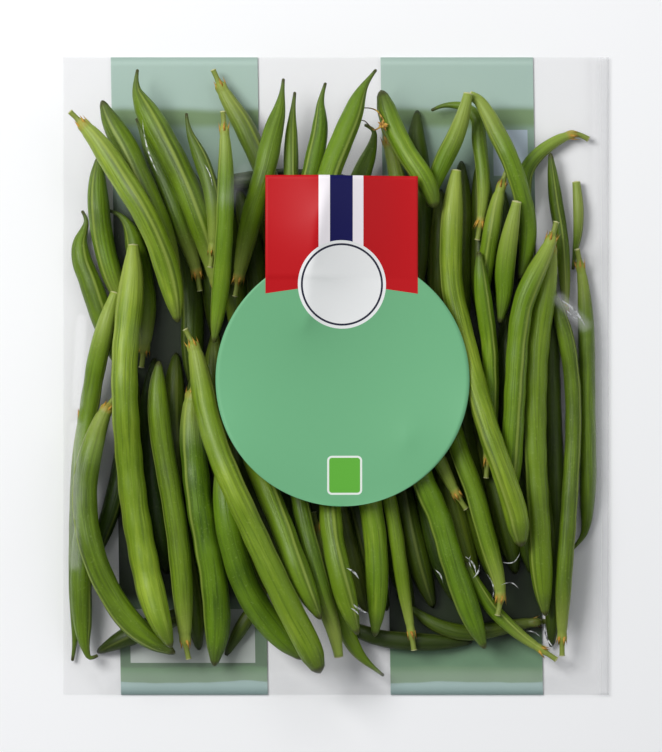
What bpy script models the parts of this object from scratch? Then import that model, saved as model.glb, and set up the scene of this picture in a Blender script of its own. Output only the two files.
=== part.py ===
# Green bean bundle: slim pods lying in a flat clear bag with a blank round label.
# Metres, +Z up, origin at the middle of the underside, bag lying flat on its back film.

import bmesh
import bpy
import math
import numpy as np

for old in list(bpy.data.objects):
    bpy.data.objects.remove(old, do_unlink=True)

# Sizes are in millimetres. Pod routes and widths are in plan units.
MM = 0.001
PLAN_UNIT = 6 / 7

# Bag
BAG_HALF_WIDTH = 83.4
BAG_HALF_HEIGHT = 97.4
FILM_THICKNESS = 0.5
FILM_GAP = 0.3
FILM_PITCH = 7.0
FILM_STEP_IN = 0.6
FILM_CLEAR = 0.45
SETTLE_ROUNDS = 600
SETTLE_SINK = 0.04
SETTLE_LAST_ROUNDS = 3
SETTLE_LEAST_GRIP = 0.05
DRAPE_TURNS = 12
DRAPE_SHARES = (0.0, 0.35, 0.7, 1.0)
DRAPE_ROUNDING = 0.98

# Label
LABEL_CENTRE = (2.0, -1.0)
LABEL_RADIUS = 38.1
TAG_LEFT = -21.1
TAG_RIGHT = 24.6
TAG_TOP = 60.0
LABEL_THICKNESS = 0.3
LABEL_GAP = 0.35
LABEL_COLUMNS = 9
LABEL_FIRST_TURN = -84
LABEL_LAST_TURN = 55
LABEL_TURN = 9
LABEL_SAMPLES = 5
TAG_ROWS = 6
TAG_FIRST_ROW = 4.0

# Pods
POD_SIDES = 6
POD_GAP = 0.4
POD_BODY_RING = 15.0
LOW_POD_RING = 26.0
POD_LOWEST = FILM_THICKNESS + 0.4
SAG_RADIUS = 105.0
SAG_SLOPE = 0.13
LIFT_RADIUS = 90.0
LAY_STEP = 1.7
ROUTE_STEPS = 12
LONGEST_END_SHARE = 0.45
MERGE_DISTANCE = 0.001

# Ends of a pod: distance from the end, then radius as millimetres plus a share of the pod's own radius.
ENDS = {
    "stem": [(0.0, 0.9, 0.0), (3.6, 0.85, 0.0), (4.3, 0.9, 0.25), (5.8, 1.0, 0.3), (7.0, 0.0, 0.52),
             (11.5, 0.0, 0.70), (18.0, 0.0, 0.90), (26.0, 0.0, 1.0)],
    "cut": [(0.0, 0.9, 0.12), (2.6, 0.4, 0.42), (8.0, 0.0, 0.78), (14.0, 0.0, 0.94), (21.0, 0.0, 1.0)],
    "tail": [(0.0, 0.4, 0.0), (3.4, 0.65, 0.0), (6.4, 0.4, 0.2), (9.5, 0.0, 0.62), (15.0, 0.0, 0.86),
             (22.0, 0.0, 1.0)],
    "tip": [(0.0, 0.45, 0.0), (1.2, 0.4, 0.22), (3.5, 0.0, 0.56), (8.0, 0.0, 0.80), (15.5, 0.0, 1.0)],
    "blunt": [(0.0, 0.2, 0.2), (1.0, 0.0, 0.6), (2.8, 0.0, 0.84), (8.0, 0.0, 1.0)],
}

# The lowest layer lies flat on the back film, each pod pressed against the next: one node.
# Widest width, kind of first end, kind of last end, plan route.
LOW_PODS = [
    # Left, below the middle
    (8.6, "tip", "tip", [(-72, 2), (-73, -20), (-72, -42), (-69, -62), (-66, -76)]),
    (8.6, "tip", "tip", [(-64.4, 6), (-65.4, -20), (-64.4, -42), (-61.6, -60), (-60, -70)]),
    (8.6, "tip", "tip", [(-56.8, 8), (-57.8, -20), (-56.8, -42), (-53.9, -62), (-50.6, -82), (-48.6, -97)]),
    (8.6, "tip", "tip", [(-49.2, 4), (-50.2, -20), (-49.2, -42), (-46.8, -60), (-44, -80)]),
    (7.2, "tip", "tail", [(-71, -8), (-74, -22), (-77.3, -38), (-80.5, -50), (-84, -60), (-86.5, -72)]),
    (8.4, "tip", "stem", [(-84.5, -98), (-80, -95.5), (-74, -92.5), (-67, -89.5), (-58, -86), (-44, -79)]),
    # Middle, below the label
    (8.8, "tip", "tip", [(-43, 16), (-42.8, -6), (-42.4, -20), (-39.5, -34), (-35, -48), (-28, -64), (-22, -78)]),
    (8.8, "tip", "tip", [(-36.5, -10), (-33, -30), (-27, -50), (-20.5, -66), (-14, -80)]),
    (8.8, "tip", "tip", [(-29, -14), (-25, -34), (-19, -54), (-13, -70), (-7, -84)]),
    (8.8, "tip", "tip", [(-20, -18), (-16.5, -38), (-11.5, -56), (-6.5, -72), (-1, -86)]),
    (8.8, "tip", "tip", [(-11.5, -18), (-8.5, -38), (-4.5, -56), (0.5, -72), (5, -86)]),
    (8.8, "tip", "tip", [(-3, -20), (-0.5, -40), (3, -56), (7.5, -72), (11, -84)]),
    (8.8, "tip", "tip", [(5, -20), (7, -40), (10.5, -56), (14.5, -72), (18, -83)]),
    (6.6, "tail", "tip", [(-6, -84), (6, -89.5), (14, -92.5), (24, -94), (36, -94.5), (48, -94.5)]),
    (6.4, "stem", "tip", [(-22, -70), (-29, -82), (-34, -90), (-39, -99)]),
    # Right, below the middle
    (8.8, "tip", "tip", [(12.5, -14), (14.4, -34), (18, -52), (22, -68), (27, -82)]),
    (8.8, "tip", "tip", [(20, -10), (22.2, -32), (26, -52), (30, -68), (34.5, -82)]),
    (9.4, "tip", "tip", [(27.6, -8), (30.1, -30), (33.8, -50), (38, -66), (42.3, -80)]),
    (9.4, "tip", "tip", [(35.6, -6), (38, -28), (41.8, -48), (45.8, -64), (50, -78)]),
    (9.6, "tip", "tip", [(43, 16), (43.6, -2), (45.8, -24), (49.6, -44), (53.6, -60), (57.6, -75)]),
    (9.6, "tip", "tip", [(51, 6), (53.2, -18), (56.8, -38), (60.4, -54), (63.8, -70)]),
    (6.2, "tail", "stem", [(22, -78), (30, -85), (37, -89), (45, -91), (56, -90), (66, -88), (77, -87)]),
    # Right edge
    (8.8, "tip", "tip", [(60.2, 22), (61, 4), (61.6, -8), (63, -28), (66.2, -50), (69.5, -70)]),
    (8.4, "tip", "tip", [(68, 48), (68.4, 26), (69.1, 0), (70.6, -26), (73.4, -50), (76, -76)]),
    (7.0, "stem", "tip", [(76, 42), (76.2, 22), (76.4, -2), (77.5, -28), (78.5, -52), (77.5, -76), (76.5, -96)]),
    # Top left
    (8.6, "tip", "tip", [(-62, 72), (-57, 58), (-53, 44), (-51, 28), (-51, 8), (-51, -4)]),
    (9.2, "tip", "tip", [(-54.5, 76), (-49, 62), (-45, 46), (-43.4, 30), (-43.2, 14)]),
    (8.6, "tip", "tip", [(-46, 72), (-41, 60), (-37.2, 44), (-35.4, 28), (-34.8, 10)]),
    (8.6, "tip", "tip", [(-34.5, 66), (-29.6, 44), (-27.6, 28), (-27, 6)]),
    (8.6, "tip", "tip", [(-28, 74), (-24.5, 60), (-21.8, 44), (-19.9, 28), (-19.4, 4)]),
    (6.8, "tip", "tip", [(-46, 68), (-30, 69.5), (-12, 70), (6, 67), (18, 60)]),
    # Top right
    (8.0, "tip", "stem", [(28.9, 94), (28.5, 85), (29.3, 75), (30, 62), (30, 45), (28, 25)]),
    (8.4, "tip", "tip", [(37.2, 66), (36.8, 50), (36.3, 34), (36, 14)]),
    (8.4, "tip", "tip", [(44.6, 76), (44.3, 62), (44, 44), (43.8, 26), (43.8, 8)]),
    (8.4, "tip", "tip", [(51.2, 78), (51.8, 62), (51.6, 44), (51.2, 20)]),
    (8.4, "tip", "tip", [(59, 66), (59.2, 48), (59, 34), (58.8, 20)]),
]

# Name, widest width, kind of first end, kind of last end, plan route from the first end to the last.
# The order is the order of laying: a later pod lies over the earlier ones it crosses.
PODS = [
    # Lowest pods, seen in the gaps
    ("pod_01", 7.8, "tail", "stem",
     [(-70.5, 91), (-66, 80), (-61, 70), (-57, 60), (-53.5, 50), (-50, 40), (-48, 30)]),
    ("pod_02", 5.2, "cut", "tail", [(85.3, 69), (86, 60), (86, 52), (85, 44.6), (84.2, 38)]),
    ("pod_03", 5.6, "tail", "stem",
     [(34, 94.2), (38, 95.8), (42, 96), (46, 95), (49.5, 92), (50.5, 85), (51, 77), (52, 69), (51.5, 58), (50, 48)]),
    ("pod_04", 4.8, "stem", "tail",
     [(-89.5, -8), (-91.3, -25), (-92, -42), (-92.4, -58), (-92.4, -75), (-92.4, -88), (-92.9, -96), (-93.6, -101)]),
    ("pod_05", 8.0, "stem", "tail",
     [(-86.5, -32), (-88, -45), (-89.5, -60), (-90, -75), (-89.5, -88), (-88, -98), (-86, -100.8), (-84.5, -99)]),
    ("pod_06", 6.6, "stem", "tail",
     [(-8, -48), (-4, -65), (0, -78), (3, -88), (6.5, -96), (9.8, -100.2), (13, -103), (16.8, -106)]),
    ("pod_07", 6.0, "stem", "tail",
     [(85.5, 45), (87.5, 34), (88.5, 22), (89, 8), (89, -6), (89.3, -22), (89.4, -37), (89, -48), (88, -56),
      (83.4, -62)]),
    ("pod_08", 8.2, "stem", "tail",
     [(-43.5, 108.5), (-39.5, 100), (-34, 91), (-29, 81), (-24, 70), (-16, 52), (-8, 35)]),
    ("pod_09", 9.2, "tip", "stem",
     [(-82.5, 97), (-80, 91), (-76, 84), (-71, 74), (-66.5, 64), (-62, 53), (-58.5, 42), (-56, 28)]),
    ("pod_10", 8.6, "tail", "stem",
     [(-80.5, 58.7), (-76, 56.5), (-73.5, 53), (-71, 45), (-68.8, 35), (-67.5, 25), (-67.8, 15), (-69, 3)]),
    ("pod_11", 8.6, "tail", "tip",
     [(-90, 58.5), (-88.6, 55), (-89.6, 51), (-91, 46), (-90.3, 42), (-88.5, 37), (-85.5, 29), (-82.5, 20),
      (-80, 12), (-77.5, 4)]),
    ("pod_12", 6.0, "stem", "tip",
     [(89.7, 84), (85, 85.8), (80, 84.3), (75, 81.3), (70, 77), (67, 71), (67, 62), (67.5, 54)]),
    ("pod_13", 7.2, "stem", "tail", [(60.5, 73), (59, 69), (56.5, 60), (55, 52), (53.5, 44), (52.5, 36), (51, 20)]),
    ("pod_14", 7.0, "stem", "tail", [(16.5, 89), (18.5, 82), (20.5, 75), (22, 68), (24, 45), (22, 20)]),
    ("pod_15", 7.6, "tail", "stem", [(10.3, 88.8), (13.4, 86.5), (12.6, 81), (8.5, 70), (3, 50), (-1, 25)]),
    # Middle pods
    ("pod_16", 5.2, "tip", "stem",
     [(76, 78.7), (77, 70), (78.3, 60), (80, 50), (80.8, 40), (81.3, 30), (81, 18)]),
    ("pod_17", 6.4, "tip", "stem",
     [(50.3, 43.5), (50.8, 36), (52, 26), (53.8, 14), (54.5, 2), (54.5, -10), (54, -22), (53, -36)]),
    ("pod_18", 6.8, "tail", "cut",
     [(-18, 5), (-17, -15), (-14, -35), (-11.5, -50), (-9, -60), (-6.3, -70), (-3.7, -80), (-0.7, -90), (1, -99)]),
    ("pod_19", 6.4, "tail", "stem",
     [(12, 0), (20, -8), (28, -18), (36.5, -30), (39.5, -36), (42.5, -41.5), (46, -47)]),
    ("pod_20", 5.2, "tail", "stem",
     [(12, 2), (13, -12), (16, -30), (19.3, -46), (21.3, -57), (22.7, -67), (24, -76), (26, -87), (27.6, -97)]),
    ("pod_21", 8.0, "tip", "stem",
     [(-62.5, 5), (-63, -5), (-61.8, -20), (-58.3, -40), (-56, -55), (-54.5, -70), (-53.7, -83), (-53, -95),
      (-52, -100)]),
    ("pod_22", 10.2, "stem", "tip",
     [(-50, 0), (-51, -15), (-50, -28), (-48.5, -42), (-46, -56), (-43.8, -68), (-42.3, -80), (-42, -91),
      (-43, -102.3)]),
    ("pod_23", 9.6, "stem", "tip",
     [(-38, -18), (-39, -35), (-38, -50), (-35.5, -62), (-32, -73), (-26.5, -83), (-20.5, -91), (-12, -99.7)]),
    ("pod_24", 8.2, "tip", "stem",
     [(-84, 77.7), (-84.5, 70), (-84.2, 62), (-83, 52), (-81.5, 43), (-79, 35), (-76.3, 27.5), (-73, 16)]),
    ("pod_25", 7.4, "cut", "tail",
     [(-77.9, 29.5), (-80.5, 21), (-83, 11), (-85.5, 0), (-87, -10), (-88.5, -20), (-90, -32), (-90.5, -45)]),
    ("pod_26", 10.4, "tail", "stem",
     [(-70, 108), (-70.3, 101), (-67, 94), (-61.5, 84), (-56, 74), (-51, 63), (-47, 53), (-43.5, 42), (-41, 26)]),
    ("pod_27", 6.8, "tail", "stem",
     [(-52.5, 92), (-51.5, 86), (-49, 80), (-46.5, 74), (-44.5, 68), (-43, 62), (-42.5, 55), (-44, 38)]),
    ("pod_28", 5.8, "tail", "stem", [(-14.5, 100), (-15.5, 90), (-15.8, 80), (-15.8, 71), (-15, 50), (-14, 25)]),
    ("pod_29", 7.2, "tail", "stem",
     [(-3.7, 103), (-5.5, 95), (-5.4, 90), (-6.8, 80), (-9, 70), (-14, 45), (-18, 15)]),
    ("pod_30", 6.9, "cut", "tip",
     [(47, 99), (50.5, 97), (54, 91), (57, 85), (59.5, 80), (62.5, 73), (65, 65), (67, 57), (67.5, 48), (66.5, 40),
      (64.8, 34.5)]),
    ("pod_31", 6.2, "tip", "stem",
     [(76.3, 31), (79.5, 20), (82.3, 9), (83.8, -5), (84, -20), (83, -38), (81.8, -55), (80.5, -72), (80, -86),
      (80, -99)]),
    ("pod_32", 5.4, "tip", "stem",
     [(46, -66), (50, -74), (56, -83), (61, -88), (67, -93), (73, -97), (78, -100.3)]),
    ("pod_33", 8.8, "stem", "tip",
     [(17, 8), (21, -8), (26, -24), (31, -38), (36.3, -50), (39.3, -60), (42, -69), (46, -80), (49.5, -89),
      (52.5, -96)]),
    # Top pods
    ("pod_34", 9.0, "stem", "tip",
     [(-77, -6), (-81.5, -13), (-85.5, -24), (-88.3, -38), (-88, -50), (-85.5, -62), (-80.8, -74), (-74, -85),
      (-66.5, -92), (-57, -97.7)]),
    ("pod_35", 8.8, "stem", "tip",
     [(-36, 10), (-35, -5), (-31, -22), (-26, -36), (-20.8, -48), (-16.5, -60), (-12.5, -70), (-9, -78),
      (-5.5, -85)]),
    ("pod_36", 8.6, "stem", "tip",
     [(-5, 8), (-3, -10), (-2, -30), (-2.2, -44), (-1.5, -55), (0.5, -65), (2.7, -75), (5.3, -84), (7.6, -90.5)]),
    ("pod_37", 8.0, "stem", "tip",
     [(4, 8), (6, -10), (9, -28), (11.5, -42), (13.3, -52), (14, -63), (14.5, -75), (13.8, -91.7)]),
    ("pod_38", 7.2, "tip", "stem",
     [(30, 22), (33, 8), (38, -8), (43, -25), (48.5, -40), (51.5, -51), (54.5, -62), (57, -71), (58, -77),
      (57, -84.5)]),
    ("pod_39", 7.0, "cut", "tip",
     [(46.5, 99.5), (44.5, 91), (41.5, 83), (38, 76), (35, 69), (32.5, 60)]),
    ("pod_40", 7.4, "blunt", "blunt",
     [(16, 100.3), (18.5, 92), (21.5, 84), (26, 77), (30.5, 70), (33.5, 64), (34.6, 59.4)]),
    ("pod_41", 7.2, "cut", "tip",
     [(63.5, 61.3), (62, 54), (60.5, 46), (59.5, 38), (59.2, 29), (57.8, 19)]),
    ("pod_42", 8.6, "tail", "stem",
     [(14, 107.3), (9, 100), (7, 95), (5.3, 90), (1, 80), (-2.5, 70), (-8, 45), (-11, 18)]),
    ("pod_43", 8.0, "tail", "stem",
     [(-18.5, 104.5), (-19.7, 95), (-22.3, 85), (-25.5, 70), (-28.5, 60), (-31, 50), (-35.5, 28)]),
    ("pod_44", 6.4, "stem", "tip",
     [(-39.5, 92.5), (-38.7, 80), (-38.5, 68), (-39, 50), (-39.7, 38), (-41, 25), (-42.7, 12)]),
    ("pod_45", 9.2, "stem", "tip",
     [(-93.4, 92.8), (-85, 84), (-76, 71), (-68, 58.5), (-62, 46), (-58, 33), (-55.5, 19)]),
    ("pod_46", 10.0, "cut", "tip",
     [(-71.4, 46.3), (-71.7, 36), (-73, 22), (-74.2, 8), (-74.2, -8), (-73.2, -25), (-71.8, -40), (-69.2, -56),
      (-66.6, -70), (-63, -83), (-58, -95.3)]),
    ("pod_47", 9.2, "stem", "blunt",
     [(-53, 16.5), (-50, 10), (-47.7, 0), (-45.3, -12), (-41.5, -25), (-35.3, -40), (-29, -54), (-21.7, -70),
      (-14.5, -85), (-9, -96), (-5.8, -103.5)]),
    ("pod_48", 8.4, "stem", "tip",
     [(76.4, 51), (75.3, 38), (72.5, 22), (70.7, 5), (70.2, -12), (70.5, -32), (71.6, -52), (72.6, -70),
      (74, -84.5)]),
    ("pod_49", 8.2, "stem", "tip",
     [(77.6, 54.3), (75, 46), (70.5, 37), (66.3, 27), (64.2, 15), (63.3, 2), (62.6, -12), (62, -24), (61, -46)]),
    ("pod_50", 8.4, "cut", "blunt",
     [(42.5, 72.7), (41, 58), (40.5, 42), (41.3, 29), (44, 17), (47.5, 3), (51, -10), (55, -24), (60, -38),
      (63.5, -50), (65, -59.5)]),
]


def smooth_route(corners):
    """Close plan points through the corners, and the distance along to each."""
    p = np.array(corners, float)
    step = np.diff(p, axis=0)
    h = np.linalg.norm(step, axis=1)[:, None]
    chord = step / h
    slope = np.empty_like(p)
    slope[1:-1] = (chord[1:] * h[:-1] + chord[:-1] * h[1:]) / (h[1:] + h[:-1])
    slope[0] = 1.5 * chord[0] - 0.5 * slope[1]
    slope[-1] = 1.5 * chord[-1] - 0.5 * slope[-2]
    points = [p[:1]]
    for i in range(len(step)):
        t = np.linspace(0, 1, ROUTE_STEPS + 1)[1:, None]
        a = (2 * t**3 - 3 * t**2 + 1) * p[i] + (t**3 - 2 * t**2 + t) * h[i] * slope[i]
        b = (3 * t**2 - 2 * t**3) * p[i + 1] + (t**3 - t**2) * h[i] * slope[i + 1]
        points.append(a + b)
    points = np.concatenate(points)
    along = np.concatenate([[0.0], np.cumsum(np.linalg.norm(np.diff(points, axis=0), axis=1))])
    return points, along


def on_route(points, along, s):
    return np.stack([np.interp(s, along, points[:, 0]), np.interp(s, along, points[:, 1])], axis=1)


def end_radius(kind, distance, body):
    rows = ENDS[kind]
    return np.interp(distance, [row[0] for row in rows], [row[1] + row[2] * body for row in rows])


def pod_radius(first, last, body, s, length):
    from_first = end_radius(first, s, body)
    from_last = end_radius(last, length - s, body)
    return np.minimum(np.minimum(from_first, from_last), body)


def ring_stations(first, last, length, body_ring):
    """Distances along for the rings: the corners of both ends, then even steps between."""
    start = [row[0] for row in ENDS[first] if row[0] < LONGEST_END_SHARE * length]
    end = [length - row[0] for row in ENDS[last] if row[0] < LONGEST_END_SHARE * length]
    between = max(1, math.ceil((end[-1] - start[-1]) / body_ring))
    body = list(np.linspace(start[-1], end[-1], between + 1)[1:-1])
    return np.array(start + body + end[::-1])


def laid_heights(s, plan, radius, spheres):
    """Heights of the middle line: clear of all below, bending no more sharply than a pod does."""
    need = POD_LOWEST + radius
    if len(spheres):
        apart = np.hypot(plan[:, None, 0] - spheres[None, :, 0], plan[:, None, 1] - spheres[None, :, 1])
        reach = radius[:, None] + spheres[None, :, 3] + POD_GAP
        over = np.sqrt(np.maximum(reach**2 - apart**2, 0.0))
        need = np.maximum(need, np.where(apart < reach, spheres[None, :, 2] + over, -99.0).max(axis=1))
    away = np.abs(s[:, None] - s[None, :])
    sag = SAG_SLOPE * away + away**2 / (2 * SAG_RADIUS)
    arched = (need[None, :] - sag).max(axis=1)
    lift = away**2 / (2 * LIFT_RADIUS)
    offset = (arched[None, :] - lift).max(axis=1)
    return (offset[None, :] + lift).min(axis=1)


def over_line(rings, s, height):
    """Heights at the rings whose straight runs between them stay on or above the line."""
    start = np.interp(rings, s, height)
    short = np.maximum(height - np.interp(s, rings, start), 0.0)
    run = np.clip(np.searchsorted(rings, s) - 1, 0, len(rings) - 2)
    lift = np.zeros(len(rings))
    np.maximum.at(lift, run, short)
    np.maximum.at(lift, run + 1, short)
    return start + lift


def material(name, colour, roughness, alpha=1.0):
    made = bpy.data.materials.new(name)
    made.use_nodes = True
    shader = made.node_tree.nodes["Principled BSDF"]
    shader.inputs["Base Color"].default_value = (*colour, 1.0)
    shader.inputs["Roughness"].default_value = roughness
    shader.inputs["Alpha"].default_value = alpha
    made.diffuse_color = (*colour, alpha)
    return made


collection = bpy.data.collections.new("green_bean_bundle")
bpy.context.scene.collection.children.link(collection)
pod_skin = material("pod_skin", (0.16, 0.28, 0.05), 0.35)
clear_film = material("clear_film", (0.80, 0.84, 0.82), 0.15, 0.3)
printed_film = material("printed_film", (0.30, 0.42, 0.28), 0.4)
label_face = material("label_face", (0.19, 0.47, 0.27), 0.3)


def mesh_object(name, points, faces, skin):
    mesh = bpy.data.meshes.new(name)
    mesh.from_pydata([tuple(p) for p in np.array(points) * MM], [], faces)
    mesh.materials.append(skin)
    mesh.update()
    made = bpy.data.objects.new(name, mesh)
    collection.objects.link(made)
    return made


def pod_object(name, points, radii):
    """A bevelled curve: one body with flat ends."""
    curve = bpy.data.curves.new(name, "CURVE")
    curve.dimensions = "3D"
    curve.bevel_depth = MM
    curve.bevel_resolution = (POD_SIDES - 4) // 2
    curve.use_fill_caps = True
    line = curve.splines.new("POLY")
    line.points.add(len(points) - 1)
    for place, point, radius in zip(line.points, points, radii):
        place.co = (point[0] * MM, point[1] * MM, point[2] * MM, 1.0)
        place.radius = radius
    curve.materials.append(pod_skin)
    made = bpy.data.objects.new(name, curve)
    collection.objects.link(made)
    return made


def lay_pod(name, width, first, last, corners, below, body_ring):
    """One pod on what lies below it, and the spheres that fill it: x, y, z and radius."""
    points, along = smooth_route(np.array(corners) * PLAN_UNIT)
    length = along[-1]
    body = width * PLAN_UNIT / 2
    s = np.linspace(0, length, math.ceil(length / LAY_STEP) + 1)
    plan = on_route(points, along, s)
    radius = pod_radius(first, last, body, s, length)
    height = laid_heights(s, plan, radius, below)
    rings = ring_stations(first, last, length, body_ring)
    ring_height = over_line(rings, s, height)
    height = np.interp(s, rings, ring_height)
    middle = np.column_stack([on_route(points, along, rings), ring_height])
    made = pod_object(name, middle, pod_radius(first, last, body, rings, length))
    return made, np.column_stack([plan, height, radius])


def fuse(name, pieces):
    """One body from overlapping bevelled curves."""
    operands = bpy.data.collections.new(name + "_operands")
    bpy.context.scene.collection.children.link(operands)
    graph = bpy.context.evaluated_depsgraph_get()
    bodies = []
    for piece in pieces:
        mesh = bpy.data.meshes.new_from_object(piece.evaluated_get(graph))
        shell = bmesh.new()
        shell.from_mesh(mesh)
        bmesh.ops.remove_doubles(shell, verts=shell.verts, dist=MERGE_DISTANCE * MM)
        shell.to_mesh(mesh)
        shell.free()
        bodies.append(bpy.data.objects.new(piece.name + "_body", mesh))
        bpy.data.objects.remove(piece, do_unlink=True)
    whole = bodies[0]
    whole.name = name
    collection.objects.link(whole)
    for body in bodies[1:]:
        operands.objects.link(body)
    union = whole.modifiers.new("union", "BOOLEAN")
    union.operation = "UNION"
    union.operand_type = "COLLECTION"
    union.collection = operands
    union.solver = "EXACT"
    graph = bpy.context.evaluated_depsgraph_get()
    mesh = bpy.data.meshes.new_from_object(whole.evaluated_get(graph))
    whole.modifiers.remove(union)
    whole.data = mesh
    for body in bodies[1:]:
        bpy.data.objects.remove(body, do_unlink=True)
    bpy.data.collections.remove(operands)
    return whole


# Lay the pods: the lowest layer flat and fused, then the others one by one over it.
on_film = np.zeros((0, 4))
laid = np.zeros((0, 4))
low_pieces = []
for number, (width, first, last, corners) in enumerate(LOW_PODS):
    piece, spheres = lay_pod(f"low_{number:02d}", width, first, last, corners, on_film, LOW_POD_RING)
    low_pieces.append(piece)
    laid = np.concatenate([laid, spheres])
fuse("low_pods", low_pieces)
for name, width, first, last, corners in PODS:
    piece, spheres = lay_pod(name, width, first, last, corners, laid, POD_BODY_RING)
    laid = np.concatenate([laid, spheres])


def sheet_lines(half):
    """Grid lines of the film across the bag: the rim, a line just inside it, then even steps."""
    inner = half - FILM_THICKNESS
    count = 2 * int((inner - FILM_STEP_IN) // FILM_PITCH) + 1
    middle = (np.arange(count) - count // 2) * (inner - FILM_STEP_IN) * 2 / (count + 0.2)
    return np.concatenate([[-inner, FILM_STEP_IN - inner], middle, [inner - FILM_STEP_IN, inner]])


def facet(i, j, u, v, rows):
    """Three corners of the facet at shares u and v of cell i, j, and each corner's share of it."""
    a = i * rows + j
    c = a + rows + 1
    b = np.where(v > u, a + 1, a + rows)
    low = np.minimum(u, v)
    high = np.maximum(u, v)
    return np.stack([a, b, c], axis=-1), np.stack([1 - high, high - low, low], axis=-1)


def facet_at(x_lines, y_lines, x, y):
    i = np.clip(np.searchsorted(x_lines, x) - 1, 0, len(x_lines) - 2)
    j = np.clip(np.searchsorted(y_lines, y) - 1, 0, len(y_lines) - 2)
    u = (x - x_lines[i]) / (x_lines[i + 1] - x_lines[i])
    v = (y - y_lines[j]) / (y_lines[j + 1] - y_lines[j])
    return facet(i, j, u, v, len(y_lines))


def drape(least, free, pulls, corners, shares, heights):
    """Heights of a taut sheet's corners, so that its facets pass over every given height."""
    z = least.copy()
    moving = free.ravel().astype(float)
    grip = shares * moving[corners]
    for settle in range(SETTLE_ROUNDS):
        wide = np.pad(z, 1, mode="edge")
        near = np.stack([wide[2:, 1:-1], wide[:-2, 1:-1], wide[1:-1, 2:], wide[1:-1, :-2]])
        mean = (near * pulls).sum(axis=0) / pulls.sum(axis=0)
        z = np.where(free, np.maximum(least, mean - SETTLE_SINK), least)
        last_rounds = settle >= SETTLE_ROUNDS - SETTLE_LAST_ROUNDS
        short = heights - (z.ravel()[corners] * shares).sum(axis=1)
        if last_rounds:
            push = (grip > 0) * (short / np.maximum(grip.sum(axis=1), SETTLE_LEAST_GRIP))[:, None]
        else:
            push = grip * (short / np.maximum((grip * shares).sum(axis=1), SETTLE_LEAST_GRIP))[:, None]
        lift = np.zeros(z.size)
        np.maximum.at(lift, corners, np.maximum(push, 0.0))
        z = z + lift.reshape(z.shape)
    return z


# Front film: a sheet over the pods, drawn down to the back film at the rim.
film_x = sheet_lines(BAG_HALF_WIDTH)
film_y = sheet_lines(BAG_HALF_HEIGHT)
rim_height = FILM_THICKNESS + FILM_GAP
places = []
for turn in range(DRAPE_TURNS):
    for share in DRAPE_SHARES:
        x = laid[:, 0] + share * laid[:, 3] * math.cos(turn * math.tau / DRAPE_TURNS)
        y = laid[:, 1] + share * laid[:, 3] * math.sin(turn * math.tau / DRAPE_TURNS)
        top = laid[:, 2] + laid[:, 3] * math.sqrt(1 - DRAPE_ROUNDING * share**2)
        places.append((x, y, top + FILM_CLEAR))
pod_x, pod_y, pod_top = np.concatenate(places, axis=1)
film_free = np.zeros((len(film_x), len(film_y)), bool)
film_free[1:-1, 1:-1] = True
across = np.pad(1 / np.diff(film_x), 1, mode="edge")[:, None] * np.ones(len(film_y))
along_y = np.pad(1 / np.diff(film_y), 1, mode="edge")[None, :] * np.ones(len(film_x))[:, None]
film_pulls = np.stack([across[1:], across[:-1], along_y[:, 1:], along_y[:, :-1]])
film_corners, film_shares = facet_at(film_x, film_y, pod_x, pod_y)
film_z = drape(np.full(film_free.shape, rim_height), film_free, film_pulls, film_corners, film_shares, pod_top)


def sheet(name, x, y, under, over, skin):
    """A closed sheet between two skins given on one grid of rows and columns."""
    columns, rows = under.shape
    points = [(x[0][i, j], y[0][i, j], under[i, j]) for i in range(columns) for j in range(rows)]
    points += [(x[1][i, j], y[1][i, j], over[i, j]) for i in range(columns) for j in range(rows)]
    lift = columns * rows
    faces = []
    for i in range(columns - 1):
        for j in range(rows - 1):
            a = i * rows + j
            b = a + rows
            faces.append((a, a + 1, b + 1))
            faces.append((a, b + 1, b))
            faces.append((a + lift, b + lift, b + 1 + lift))
            faces.append((a + lift, b + 1 + lift, a + 1 + lift))
    edge = [i * rows for i in range(columns)]
    edge += [(columns - 1) * rows + j for j in range(1, rows)]
    edge += [i * rows + rows - 1 for i in range(columns - 2, -1, -1)]
    edge += [j for j in range(rows - 2, 0, -1)]
    for a, b in zip(edge, edge[1:] + edge[:1]):
        faces.append((a, b, b + lift))
        faces.append((a, b + lift, a + lift))
    return mesh_object(name, points, faces, skin)


inner_x, inner_y = np.meshgrid(film_x, film_y, indexing="ij")
outer_x = inner_x * BAG_HALF_WIDTH / (BAG_HALF_WIDTH - FILM_THICKNESS)
outer_y = inner_y * BAG_HALF_HEIGHT / (BAG_HALF_HEIGHT - FILM_THICKNESS)
film_top = film_z + FILM_THICKNESS
film_top[[0, -1], :] = rim_height
film_top[:, [0, -1]] = rim_height
film_under = film_z.copy()
sheet("film_front", (inner_x, outer_x), (inner_y, outer_y), film_under, film_top, clear_film)

# Back film: the flat sheet the bag lies on.
back_x, back_y = np.meshgrid([-BAG_HALF_WIDTH, BAG_HALF_WIDTH], [-BAG_HALF_HEIGHT, BAG_HALF_HEIGHT], indexing="ij")
back_z = np.zeros_like(back_x)
sheet("film_back", (back_x, back_x), (back_y, back_y), back_z, back_z + FILM_THICKNESS, printed_film)


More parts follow.
